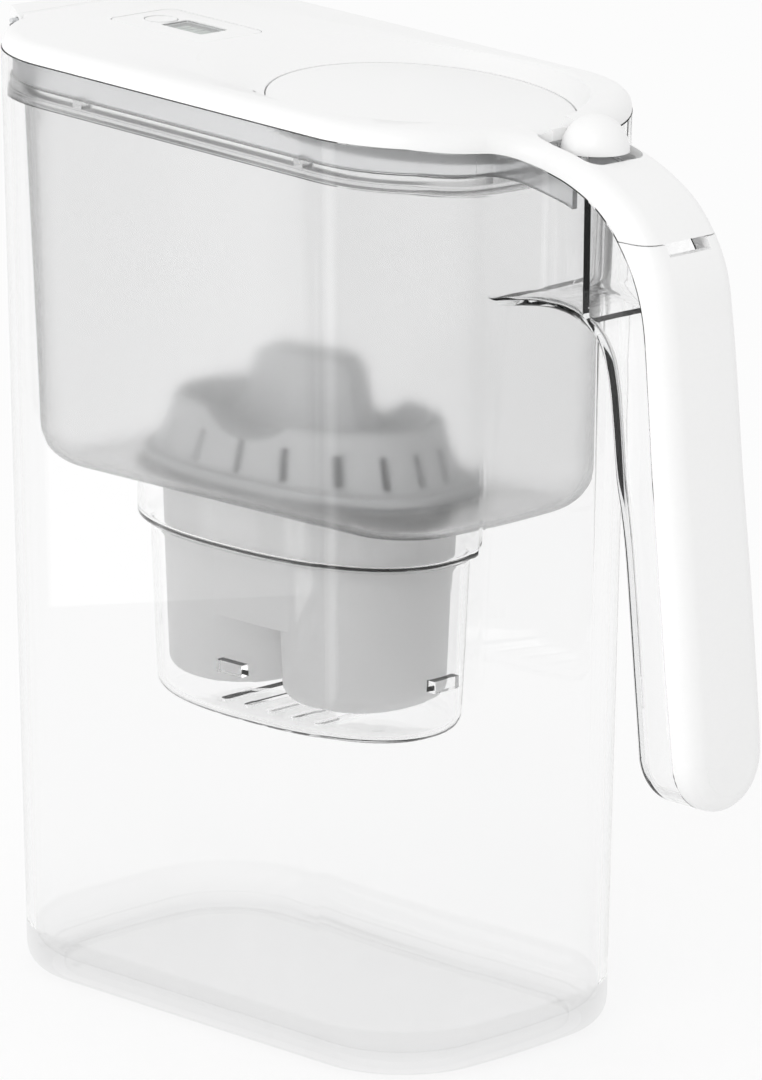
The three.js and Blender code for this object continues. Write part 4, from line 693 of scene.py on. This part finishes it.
def lidPlane(x):
    return rimPlane(x) + lid["rise"]


def flapLine(x):
    return float(lidLine(flap["x"])) - flap["depth"] - flap["slope"] * (np.asarray(x, float) - flap["x"])


# A ring round the flap: share 0 is the flap's own edge, share 1 the dish's edge on the lid's top, drawn out at
# the front. Its height is a rule of x and of the front share, which grows from 0 at the side to 1 at the front
def dishRing(share, height, extra=0.0, steps=144):
    turn = fullTurn(steps)
    front = np.maximum(0, -np.cos(turn))
    edge = flap["radius"] + fit
    dish = flap["dish"] + front ** 3 * (flap["x"] + flap["dishFront"] - flap["dish"])
    radius = edge + (dish - edge) * share + extra
    x = flap["x"] + radius * np.cos(turn)
    return np.column_stack([x, radius * np.sin(turn), height(x, front)])


# A form under the lid's top: a plan that draws in along a rounded top edge, lowered by a drop
def toppedForm(name, planAt, radius, drop):
    rings = [raised(planAt(0), lambda x: rimLine(x) - run)]
    rings += [raised(planAt(radius * rise), lambda x: lidLine(x) - drop - radius * draw)
              for rise, draw in quarterRound(lid["roundSteps"])]
    rings.append(raised(planAt(radius), lambda x: lidLine(x) + run))
    return meet(solidFromRings(name, rings), underLid("under", -drop))


def lidPlate(name, inset, drop):
    radius = max(lid["round"] - inset, lid["round"] / 3)
    return toppedForm(name, lambda drawn: jugPlan(jug["height"], lid["inset"] + inset + drawn), radius, drop)


# The lid's neck between the plate and the tongue
def lidNeck(name, inset, drop):
    plan = lambda drawn: neckPlan(jug["height"], lid["inset"] + inset + drawn, handle["neckDepth"] / 2)
    return toppedForm(name, plan, handle["rounding"] - inset, drop)


def timerSheet(name, outline, low, high):
    rings = [raised(outline, lambda x: lidLine(x) - depth) for depth in (low, high)]
    return solidFromRings(name, rings)


def lidBeak(steps=5):
    w, plan = lid["wall"], beakPlan(beak["reach"] + run, lid["inset"] + lid["wall"])
    rings = [raised(beakPlan(beak["reach"], lid["inset"]), lambda x: rimPlane(x) - run)]
    rings += [raised(beakPlan(beak["reach"], lid["inset"] + w / 2 * rise),
                     lambda x: lidPlane(x) - w / 2 * draw) for rise, draw in quarterRound(steps)]
    inside = [raised(plan, lambda x: rimPlane(x) - 2 * run), raised(plan, lambda x: lidPlane(x) - w)]
    return solidFromRings("beak", rings), solidFromRings("beakInside", inside)


# The dish rises from the flap's edge: a power curve at the sides, a soft S towards the beak
def lidDish(steps=5):
    edge, power = flap["dishEdge"], flap["dishPower"]

    def height(x, front, t):
        climb = (1 - front) * t ** power + front * (3 * t * t - 2 * t ** 3)
        return flapLine(x) + (lidLine(x) - edge * (1 - front) - flapLine(x)) * climb

    rings = [dishRing(t, lambda x, front: height(x, front, t), -edge * t)
             for t in turnsOf(0, 1, lid["dishSteps"])]
    rings += [dishRing(1, lambda x, front: lidLine(x) - edge * (1 - front) * draw, edge * (rise - 1))
              for rise, draw in quarterRound(steps)[1:]]
    rings.append(dishRing(1, lambda x, front: lidLine(x) + run, flap["dishLip"]))
    return solidFromRings("dish", rings)


# The bowl that carries the flap, its shallow seat, and the hole inside the seat's ledge
def lidBowl():
    w, out = lid["wall"], flap["bowl"]
    bowl = solidFromRings("bowl", [
        dishRing(0, lambda x, front: flapLine(x) - flap["thick"] - fit - flap["seatThick"], out),
        dishRing(0, lambda x, front: flapLine(x) - w / 2, out),
        dishRing(0.5, lambda x, front: (flapLine(x) + lidLine(x)) / 2 - w, out),
        dishRing(1, lambda x, front: lidLine(x) - w / 2, out),
    ])
    seat, hole = (
        solidFromRings("opening", [
            dishRing(0, lambda x, front: flapLine(x) + level, extra) for level in (low, fit)])
        for low, extra in ((-flap["thick"] - fit, 0.0), (-3 * run, -flap["seat"]))
    )
    return bowl, seat, hole


# A flattened ball pressed into the tongue behind the thumb dome
def scoop(name, extra):
    reach, depth, widthShare = flap["scoop"]
    x = flap["dome"][0] + 2 * flap["domeWall"]
    z = float(lidLine(flap["dome"][0])) + run
    return ball(name, x, 0, z, reach + extra, (reach + extra) * widthShare, depth + run + extra)


def timerOpening():
    length, width, corner, thick = timer["plate"]
    tubLength, tubWidth, tubCorner, tubDepth = timer["tub"]
    plate = roundedPlan(timer["x"], 0, length + 2 * fit, width + 2 * fit, corner + fit)
    tub = roundedPlan(timer["x"], 0, tubLength + 2 * fit, tubWidth + 2 * fit, tubCorner + fit)
    return join(timerSheet("plate", plate, thick + fit, -run), timerSheet("tub", tub, thick + tubDepth, thick))


def spoutOutline(inset, back, beyond=0.0):
    front = -jug["rimFront"] - beak["reach"] + inset - beyond
    half, tip = spout["halfRoot"] - inset, spout["halfTip"] - inset
    return np.array([[back, half], [front, tip], [front, -tip], [back, -half]])


def spoutBore(length):
    return bar("bore", spout["pin"] + drawing["play"], length, "y", spoutAxisX, 0, spoutAxisZ, steps=24)


def spoutOpening():
    outline = spoutOutline(0, spout["seam"], run)
    return join(prism("spoutOpening", outline, float(rimPlane(0)) - run, aboveRim),
                spoutBore(2 * (spout["halfRoot"] + lid["wall"])))


def makeLid():
    side, w, high, rounding = handle["halfWidth"], lid["wall"], jug["height"], handle["rounding"]
    last, play = handle["tongueStation"], drawing["play"]
    tongue = meet(handleForm("tongue", 0, last, (1, -run), (2, 0), side, 0, rounding, steps=12, turnSteps=9),
                  allAbove("above", handle["seam"] + fit / 2))
    inside = handleForm("inside", 0, last, (1, -2 * run), (2, -w), side - w, 0, handle["insideRound"])
    hollow = lidPlate("hollow", w, w)
    neck = cut(lidNeck("neck", 0, 0), copyOf(hollow))
    neckInside = lidNeck("neckInside", w, w)
    beakPiece, beakInside = lidBeak()
    dish = lidDish()
    bowl, seat, hole = lidBowl()
    hingeX, hingeZ = flap["hinge"]
    half = flap["neckHalf"]
    ears = [block("ear", hingeX, s * (half + fit + side) / 2, hingeZ, 4 * flap["barrel"], side - half - fit,
                  2 * (hingeZ - float(rimLine(hingeX)))) for s in (1, -1)]
    domeX, domeLength, _, domeTop, domeFoot = flap["dome"]
    start = flap["x"] + flap["radius"] - 2 * flap["seat"]
    neckSlot = block("neckSlot", (start + domeX) / 2, 0, hingeZ, domeX - start, 2 * (half + fit), 8 * run)
    back, pocketHalf, corner = flap["pocket"]
    front = domeX - domeLength - 2 * flap["domeWall"]
    pocket = prism("pocket", roundedPlan((front + back) / 2, 0, back - front, 2 * pocketHalf, corner, steps=12),
                   domeFoot - 4 * run, domeTop + run)
    pin = bar("pin", flap["pin"] + play, 2 * (side - w / 2), "y", hingeX, 0, hingeZ)
    length, width, round_, thick = timer["plate"]
    timerZ = float(lidLine(timer["x"]))
    boss = prism("boss", roundedPlan(timer["x"], 0, length + 2 * w, width + 2 * w, round_ + w),
                 timerZ - w - thick, timerZ - w / 2)
    behindEars = cut(copyOf(neckInside), *[copyOf(ear) for ear in ears])
    plate = cut(join(lidPlate("lid", 0, 0), beakPiece), hollow, beakInside, behindEars)
    shell = join(plate, copyOf(bowl), boss)
    tongueShell = cut(join(copyOf(tongue), copyOf(neck)), cut(join(inside, neckInside), *ears))
    lining = meet(scoop("lining", w), join(tongue, neck))
    whole = cut(join(shell, tongueShell, lining), copyOf(dish), copyOf(seat), copyOf(hole))
    opened = cut(whole, copyOf(neckSlot), pocket, scoop("scoop", 0), pin, timerOpening(), spoutOpening())
    ledge = cut(meet(bowl, underRim("ledge", w)), dish, seat, hole, neckSlot)
    return join(cut(opened, underRim("under", fit, fit)), ledge)


def makeSpoutFlap():
    leaf, inner = spoutOutline(fit, spoutAxisX), spoutOutline(fit + spout["edge"], spoutAxisX)
    plate = solidFromRings("spoutFlap", [
        raised(leaf, lambda x: lidPlane(x) - spout["thick"]),
        raised(leaf, lambda x: lidPlane(x) - spout["edge"]), raised(inner, lidPlane),
    ])
    tip = -jug["rimFront"] - beak["reach"] + fit
    low, high = float(rimPlane(tip)) + fit, float(lidPlane(tip)) - spout["thick"] / 2
    lip = block("lip", tip + spout["lip"] / 2, 0, (low + high) / 2, spout["lip"],
                2 * (spout["halfTip"] - 2 * fit), high - low)
    barrel = bar("barrel", spout["barrel"], 2 * (spout["halfRoot"] - fit), "y", spoutAxisX, 0, spoutAxisZ)
    return cut(join(plate, lip, barrel), spoutBore(4 * spout["halfRoot"]))


# The jug's mouth with the neck between two heights
def mouthForm(name, low, high, inset):
    plan = neckPlan(jug["height"], inset, handle["neckDepth"])
    return join(jugForm(name, low, high, inset), prism("neck", plan, low, high))


# The ring follows the jug's mouth and sends an arm along each side of the neck
def makeRing():
    high, inset = jug["height"], lid["ringInset"]
    body, arms = (
        cut(form("ring", high - 3 * jug["ledge"], high + 3 * run, inset),
            form("inside", high - 4 * jug["ledge"], high + 4 * run, inset + lid["ringWall"]))
        for form in (jugForm, mouthForm)
    )
    band = cut(meet(join(body, arms), underRim("high", lid["ringRise"])), underRim("low", -lid["ringDrop"]))
    notchZ = float(rimLine(jug["rimBack"] - inset)) + high / 2 - lid["ringNotch"]
    handleNotch = block("handleNotch", jug["rimBack"], 0, notchZ, 4 * run,
                        2 * (handle["halfWidth"] + handle["wall"]), high)
    beakNotch = block("beakNotch", -jug["rimFront"], 0, float(rimPlane(-jug["rimFront"])), 4 * run,
                      2 * spout["halfTip"], 8 * run)
    neckEnd = block("neckEnd", jug["rimBack"] + handle["neckDepth"], 0, high, 2 * run,
                    2 * handle["halfWidth"], high)
    return cut(band, handleNotch, beakNotch, neckEnd)


def makeRefillFlap():
    thick, bevel = flap["thick"], flap["bevel"]
    rings = [dishRing(0, lambda x, front: flapLine(x) - thick, -fit)]
    rings += [dishRing(0, lambda x, front: flapLine(x) - bevel * draw, -fit - bevel * rise)
              for rise, draw in quarterRound(steps=5)]
    disc = solidFromRings("disc", rings)
    back = flap["x"] + flap["radius"]
    hingeX, hingeZ = flap["hinge"]
    domeX, domeLength, domeWidth, domeTop, domeFoot = flap["dome"]
    wall, r, neck, steps = flap["domeWall"], flap["barrel"], flap["neck"], flap["domeSteps"]
    level = lambda x: float(flapLine(x))
    outline = [
        [back - 4 * thick, level(back) - thick], [back - thick / 2, level(back) - thick],
        [hingeX - r, hingeZ - r], [hingeX, hingeZ - r], [hingeX + r, hingeZ - r + neck / 4],
        [domeX - domeLength + wall, domeFoot + neck],
        [domeX - domeLength + wall, domeFoot + flap["neckRise"] * neck],
        [hingeX + 2 * r, hingeZ + r + neck / 4], [hingeX - r, hingeZ + r],
        [back - thick, level(back)], [back - 4 * thick, level(back - 4 * thick)],
    ]
    plate = sidePlate("neck", outline, flap["neckHalf"])
    knob, inner = (
        ball("knob", domeX, 0, domeFoot, domeLength - w, domeWidth - w, domeTop - domeFoot - w, *steps)
        for w in (0, wall)
    )
    foot = allBelow("foot", domeFoot)
    cut(inner, copyOf(foot))
    shell = cut(knob, copyOf(inner), foot)
    barrel = bar("barrel", r, 2 * flap["neckHalf"], "y", hingeX, 0, hingeZ)
    bore = bar("bore", flap["pin"] + drawing["play"], 4 * flap["neckHalf"], "y", hingeX, 0, hingeZ)
    return cut(join(disc, cut(plate, inner), shell, barrel), bore)


def makeFascia():
    length, width, corner, thick = timer["plate"]
    plan = lambda drawn: roundedPlan(timer["x"], 0, length - 2 * drawn, width - 2 * drawn, corner - drawn,
                                     steps=10)
    rings = [raised(plan(0), lambda x: lidLine(x) - thick)]
    rings += [raised(plan(timer["bevel"] * rise), lambda x: lidLine(x) - timer["bevel"] * draw)
              for rise, draw in quarterRound(steps=4)]
    plate = solidFromRings("fascia", rings)
    lcdX, lcdLength, lcdWidth, lcdCorner = timer["lcd"]
    glass = timerSheet("glass", roundedPlan(lcdX, 0, lcdLength, lcdWidth, lcdCorner), thick + fit, -fit)
    buttonX, radius = timer["button"]
    hole = bar("hole", radius + fit, 4 * run, "z", buttonX, 0, float(lidLine(buttonX)), steps=64)
    return cut(plate, glass, hole)


# Bars of a filter gauge on the display: a generic reading in equal steps
def makeBars():
    x, length, width, _ = timer["lcd"]
    low = timer["plate"][3] + fit
    places = x + (np.arange(timer["bars"]) - (timer["bars"] - 1) / 2) * length / timer["barSpacing"]
    return join(*[
        timerSheet("bar", roundedPlan(place, 0, length / timer["barWidth"], width * timer["barHeight"],
                                      timer["barRound"]), low, low - timer["barThick"])
        for place in places
    ])


print("drawing functions ready")

# Finishes: colour and roughness, then the grain's scale, share of roughness, relief and tint. A see-through one
# also has its transmission, its index and the density of the plastic's own grey
look = {
    "clearPlastic": {"color": (1, 1, 1), "roughness": 0.012, "grain": (45, 0.01, 0, 0), "transmission": 1.0,
                     "ior": 1.3, "density": 10.0},
    "frostedPlastic": {"color": (0.985, 0.985, 0.985), "roughness": 0.22, "grain": (1400, 0.03, 0, 0),
                       "transmission": 1.0, "ior": 1.25, "density": 62.0},
    "ringPlastic": {"color": (0.93, 0.935, 0.94), "roughness": 0.3, "grain": (1200, 0.05, 0, 0.01),
                    "transmission": 0.9, "ior": 1.3, "density": 60.0},
    "windowPlastic": {"color": (0.9, 0.92, 0.92), "roughness": 0.03, "grain": (60, 0.01, 0, 0),
                      "transmission": 1.0, "ior": 1.3},
    "whitePlastic": {"color": (0.9, 0.9, 0.898), "roughness": 0.34, "grain": (900, 0.05, 0.12, 0.012)},
    "cartridgePlastic": {"color": (0.87, 0.875, 0.88), "roughness": 0.45, "grain": (700, 0.06, 0.15, 0.02)},
    "shellPlastic": {"color": (0.96, 0.96, 0.96), "roughness": 0.45, "grain": (700, 0.06, 0.15, 0.02)},
    "greyPlastic": {"color": (0.45, 0.455, 0.46), "roughness": 0.5, "grain": (1600, 0.05, 0.3, 0.03)},
    "sealRubber": {"color": (0.5, 0.51, 0.52), "roughness": 0.75, "grain": (2400, 0.04, 0.3, 0.03)},
    "boardLacquer": {"color": (0.02, 0.09, 0.045), "roughness": 0.4, "grain": (500, 0.08, 0.2, 0.15)},
    "steel": {"color": (0.62, 0.63, 0.64), "roughness": 0.28, "grain": (300, 0.08, 0.05, 0.03),
              "metallic": 1.0},
    "lcdGlass": {"color": (0.035, 0.04, 0.04), "roughness": 0.3, "grain": (300, 0.05, 0, 0.02)},
    "barPaint": {"color": (0.5, 0.56, 0.5), "roughness": 0.4, "grain": (500, 0.05, 0, 0.05)},
    "meshFabric": {"color": (0.72, 0.72, 0.7), "roughness": 0.85, "grain": (3000, 0.05, 0.6, 0.1)},
}
depthColor, grainDetail, grainHeight = (0.5, 0.505, 0.51, 1), 4.0, 0.0002
# The jug's foot: its plastic turns see-through between two heights, with a gloss that grows at a slant
footLook = {"level": (0.0132, 0.0142), "through": 0.985, "gloss": 0.03, "slant": 0.12, "share": 0.35}


# A node with its settings, the values of its sockets and the outputs that lead to them
def addNode(tree, kind, values=(), sources=(), **settings):
    node = tree.nodes.new("ShaderNode" + kind)
    for key, value in settings.items():
        setattr(node, key, value)
    for socket, value in dict(values).items():
        node.inputs[socket].default_value = value
    for socket, source in dict(sources).items():
        tree.links.new(source, node.inputs[socket])
    return node


# Fine noise on the object's own coordinates drives roughness, a faint relief and a tint
def plastic(name, kind):
    values = look[kind]
    color, roughness = values["color"], values["roughness"]
    scale, spread, relief, tint = values["grain"]
    material = bpy.data.materials.new(name)
    material.use_nodes = True
    tree = material.node_tree
    shader, output = tree.nodes["Principled BSDF"], tree.nodes["Material Output"]
    shader.inputs["Base Color"].default_value = (*color, 1)
    shader.inputs["Roughness"].default_value = roughness
    shader.inputs["Metallic"].default_value = values.get("metallic", 0.0)
    shader.inputs["IOR"].default_value = values.get("ior", 1.5)
    shader.inputs["Transmission Weight"].default_value = values.get("transmission", 0.0)
    if "density" in values:
        depth = addNode(tree, "VolumeAbsorption", {"Color": depthColor, "Density": values["density"]})
        tree.links.new(depth.outputs["Volume"], output.inputs["Volume"])
    place = addNode(tree, "TexCoord").outputs["Object"]
    noise = addNode(tree, "TexNoise", {"Scale": scale, "Detail": grainDetail}, {"Vector": place}).outputs["Fac"]
    span = addNode(tree, "MapRange", {"To Min": max(0.0, roughness - spread), "To Max": roughness + spread},
                   {"Value": noise})
    tree.links.new(span.outputs["Result"], shader.inputs["Roughness"])
    if relief:
        bump = addNode(tree, "Bump", {"Strength": relief, "Distance": grainHeight}, {"Height": noise})
        tree.links.new(bump.outputs["Normal"], shader.inputs["Normal"])
    if tint:
        shades = {"A": [c * (1 - tint) for c in color] + [1],
                  "B": [min(1, c * (1 + tint)) for c in color] + [1]}
        mix = addNode(tree, "Mix", shades, {"Factor": noise}, data_type="RGBA")
        tree.links.new(mix.outputs["Result"], shader.inputs["Base Color"])
    return material


def footed(material):
    tree = material.node_tree
    shader, output = tree.nodes["Principled BSDF"], tree.nodes["Material Output"]
    place = addNode(tree, "TexCoord").outputs["Object"]
    height = addNode(tree, "SeparateXYZ", {}, {"Vector": place}).outputs["Z"]
    low, high = footLook["level"]
    level = addNode(tree, "MapRange", {"From Min": low, "From Max": high}, {"Value": height})
    through = addNode(tree, "BsdfTransparent", {"Color": (*[footLook["through"]] * 3, 1)})
    gloss = addNode(tree, "BsdfGlossy", {"Roughness": footLook["gloss"]})
    slant = addNode(tree, "LayerWeight", {"Blend": footLook["slant"]})
    weaker = addNode(tree, "Math", {1: footLook["share"]}, {0: slant.outputs["Facing"]}, operation="MULTIPLY")
    glassy = addNode(tree, "MixShader", {}, {
        "Fac": weaker.outputs["Value"], 1: through.outputs["BSDF"], 2: gloss.outputs["BSDF"]})
    whole = addNode(tree, "MixShader", {}, {
        "Fac": level.outputs["Result"], 1: glassy.outputs["Shader"], 2: shader.outputs["BSDF"]})
    tree.links.new(whole.outputs["Shader"], output.inputs["Surface"])
    return material


finishes = {name: plastic(name, name) for name in look}
finishes["jugPlastic"] = footed(plastic("jugPlastic", "clearPlastic"))

nodeFinishes = {
    "clearPlastic": ["jug_body", "filter_well"],
    "frostedPlastic": ["hopper"],
    "ringPlastic": ["lid_inner_ring"],
    "windowPlastic": ["lcd_window"],
    "whitePlastic": ["handle_grip_cover", "lid_shell", "refill_flap", "spout_flap", "timer_fascia",
                     "timer_button"],
    "cartridgePlastic": ["cartridge_cap", "cartridge_body"],
    "greyPlastic": ["filter_media", "timer_switch", "timer_case", "battery_door"],
    "sealRubber": ["cartridge_seal", "battery_door_seal"],
    "boardLacquer": ["timer_circuit_board"],
    "steel": ["flap_hinge_pin", "spout_hinge_pin", "coin_cell", "cell_clip", "cell_spring_contact"],
    "lcdGlass": ["lcd_panel"],
    "meshFabric": ["inlet_screen", "outlet_screen_front", "outlet_screen_back"],
}
for finish, names in nodeFinishes.items():
    for name in names:
        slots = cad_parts[name].data.materials
        slots.clear()
        slots.append(finishes[finish])
print("finishes ready")

# Each piece: how it is made, its name, body, slot and finish, and the CAD node that it stands for
pieces = [
    (makeJug, "jug_shell", "jug", "clear_plastic", "jugPlastic", "jug_body"),
    (makeCover, "grip_cover_skin", "jug", "white_plastic", "whitePlastic", "handle_grip_cover"),
    (makeHopper, "hopper_tray", "hopper", "frosted_plastic", "frostedPlastic", "hopper"),
    (makeWell, "filter_cup", "hopper", "clear_plastic", "clearPlastic", "filter_well"),
    (makeCap, "cartridge_top", "cartridge", "cartridge_plastic", "cartridgePlastic", "cartridge_cap"),
    (makeCartridge, "cartridge_shell", "cartridge", "cartridge_plastic", "shellPlastic", "cartridge_body"),
    (makeLid, "lid_cover", "lid", "white_plastic", "whitePlastic", "lid_shell"),
    (makeRing, "lid_ring", "lid", "grey_plastic", "ringPlastic", "lid_inner_ring"),
    (makeRefillFlap, "refill_door", "refill_flap", "white_plastic", "whitePlastic", "refill_flap"),
    (makeSpoutFlap, "spout_door", "spout_flap", "white_plastic", "whitePlastic", "spout_flap"),
    (makeBars, "display_bars", "lid", "display", "barPaint", None),
    (makeFascia, "timer_plate", "lid", "white_plastic", "whitePlastic", "timer_fascia"),
]
for make, name, body, slot, finish, node in pieces:
    finishPiece(make(), name, body, finishes[finish], node)

# Floor, light and camera
stage = {"reach": 6.0, "paint": (0.93, 0.93, 0.93, 1), "roughness": 0.9, "white": 0.82, "daylight": 0.88}
white = (1, 1, 1, 1)


# How much of a strength-1 white a ray sees: all kinds but the rays that light the object
def seenWhite(tree, share):
    path = addNode(tree, "LightPath")
    most = path.outputs["Is Camera Ray"]
    for output in ("Is Glossy Ray", "Is Transmission Ray"):
        most = addNode(tree, "Math", {}, {0: most, 1: path.outputs[output]}, operation="MAXIMUM").outputs[0]
    return addNode(tree, "Math", {1: share}, {0: most}, operation="MULTIPLY").outputs[0]


# A floor that the lamps light and shade, mixed with white where the camera or a clear piece looks at it
def paleFloor():
    material = bpy.data.materials.new("paleFloor")
    material.use_nodes = True
    tree = material.node_tree
    shader = tree.nodes["Principled BSDF"]
    shader.inputs["Base Color"].default_value = stage["paint"]
    shader.inputs["Roughness"].default_value = stage["roughness"]
    glow = addNode(tree, "Emission", {"Color": white})
    mix = addNode(tree, "MixShader", {}, {
        "Fac": seenWhite(tree, stage["white"]), 1: shader.outputs["BSDF"], 2: glow.outputs["Emission"]})
    tree.links.new(mix.outputs["Shader"], tree.nodes["Material Output"].inputs["Surface"])
    return material


reach = stage["reach"]
floorMesh = bpy.data.meshes.new("floor")
floorMesh.from_pydata([(-reach, -reach, 0), (reach, -reach, 0), (reach, reach, 0), (-reach, reach, 0)], [],
                      [(0, 1, 2, 3)])
floorMesh.materials.append(paleFloor())
floor = bpy.data.objects.new("floor", floorMesh)
bpy.context.scene.collection.objects.link(floor)

world = bpy.data.worlds.new("studio")
bpy.context.scene.world = world
world.use_nodes = True
tree = world.node_tree
background = tree.nodes["Background"]
background.inputs["Color"].default_value = white
background.inputs["Strength"].default_value = stage["daylight"]
backdrop = addNode(tree, "Background", {"Color": white, "Strength": 1.0})
mix = addNode(tree, "MixShader", {}, {
    "Fac": seenWhite(tree, 1.0), 1: background.outputs["Background"], 2: backdrop.outputs["Background"]})
tree.links.new(mix.outputs["Shader"], tree.nodes["World Output"].inputs["Surface"])

# Lamps: place, what they look at, size and watts. Two strips stand by the long side, as studio windows do
lamps = {
    "softKey": ((0.6, -1.6, 1.5), (0, 0, 0.13), (1.2, 1.2), 9),
    "stripWide": ((-0.305, -0.31, 0.16), (-0.015, -0.05, 0.16), (0.12, 0.32), 0.11),
    "stripNarrow": ((-0.11, -0.31, 0.16), (0.13, -0.05, 0.16), (0.065, 0.32), 0.13),
}


# Puts a lamp or a camera at a place, turned so that its own axes point right, up and back
def stand(name, data, right, up, back, place):
    item = bpy.data.objects.new(name, data)
    bpy.context.scene.collection.objects.link(item)
    matrix = Matrix.Identity(4)
    for row in range(3):
        matrix[row] = (right[row], up[row], back[row], place[row])
    item.matrix_world = matrix
    return item


for name, (place, target, size, power) in lamps.items():
    data = bpy.data.lights.new(name, "AREA")
    data.shape = "RECTANGLE"
    data.size, data.size_y = size
    data.energy = power
    back = np.array(place, float) - np.array(target, float)
    back /= np.linalg.norm(back)
    right = np.cross([0, 0, 1], back)
    right /= np.linalg.norm(right)
    stand(name, data, right, np.cross(back, right), back, place)

# The photograph's camera: 44.5 degrees round, 14.3 up, a long lens almost 2 m away; focal is in pixels
view = {
    "azimuth": 44.458, "elevation": 14.325, "roll": 0.451, "distance": 1.9766, "focal": 7153.3, "rows": 1080,
    "film": 36, "end": 50, "target": (25.262, 0.0, 135.91),
}
azimuth, elevation, roll = (math.radians(view[key]) for key in ("azimuth", "elevation", "roll"))
back = np.array([math.sin(azimuth) * math.cos(elevation), -math.cos(azimuth) * math.cos(elevation),
                 math.sin(elevation)])
level = np.array([math.cos(azimuth), math.sin(azimuth), 0])
upward = np.cross(back, level)
cameraData = bpy.data.cameras.new("camera")
cameraData.sensor_fit = "VERTICAL"
cameraData.sensor_height = view["film"]
cameraData.lens = view["focal"] * view["film"] / view["rows"]
cameraData.clip_end = view["end"]
target = (np.array(view["target"]) + [drawing["shift"], 0, 0]) / drawing["perMetre"]
bpy.context.scene.camera = stand(
    "camera", cameraData, level * math.cos(roll) + upward * math.sin(roll),
    upward * math.cos(roll) - level * math.sin(roll), back, target + back * view["distance"],
)
bpy.context.scene.view_settings.view_transform = "Standard"
print("stage ready")
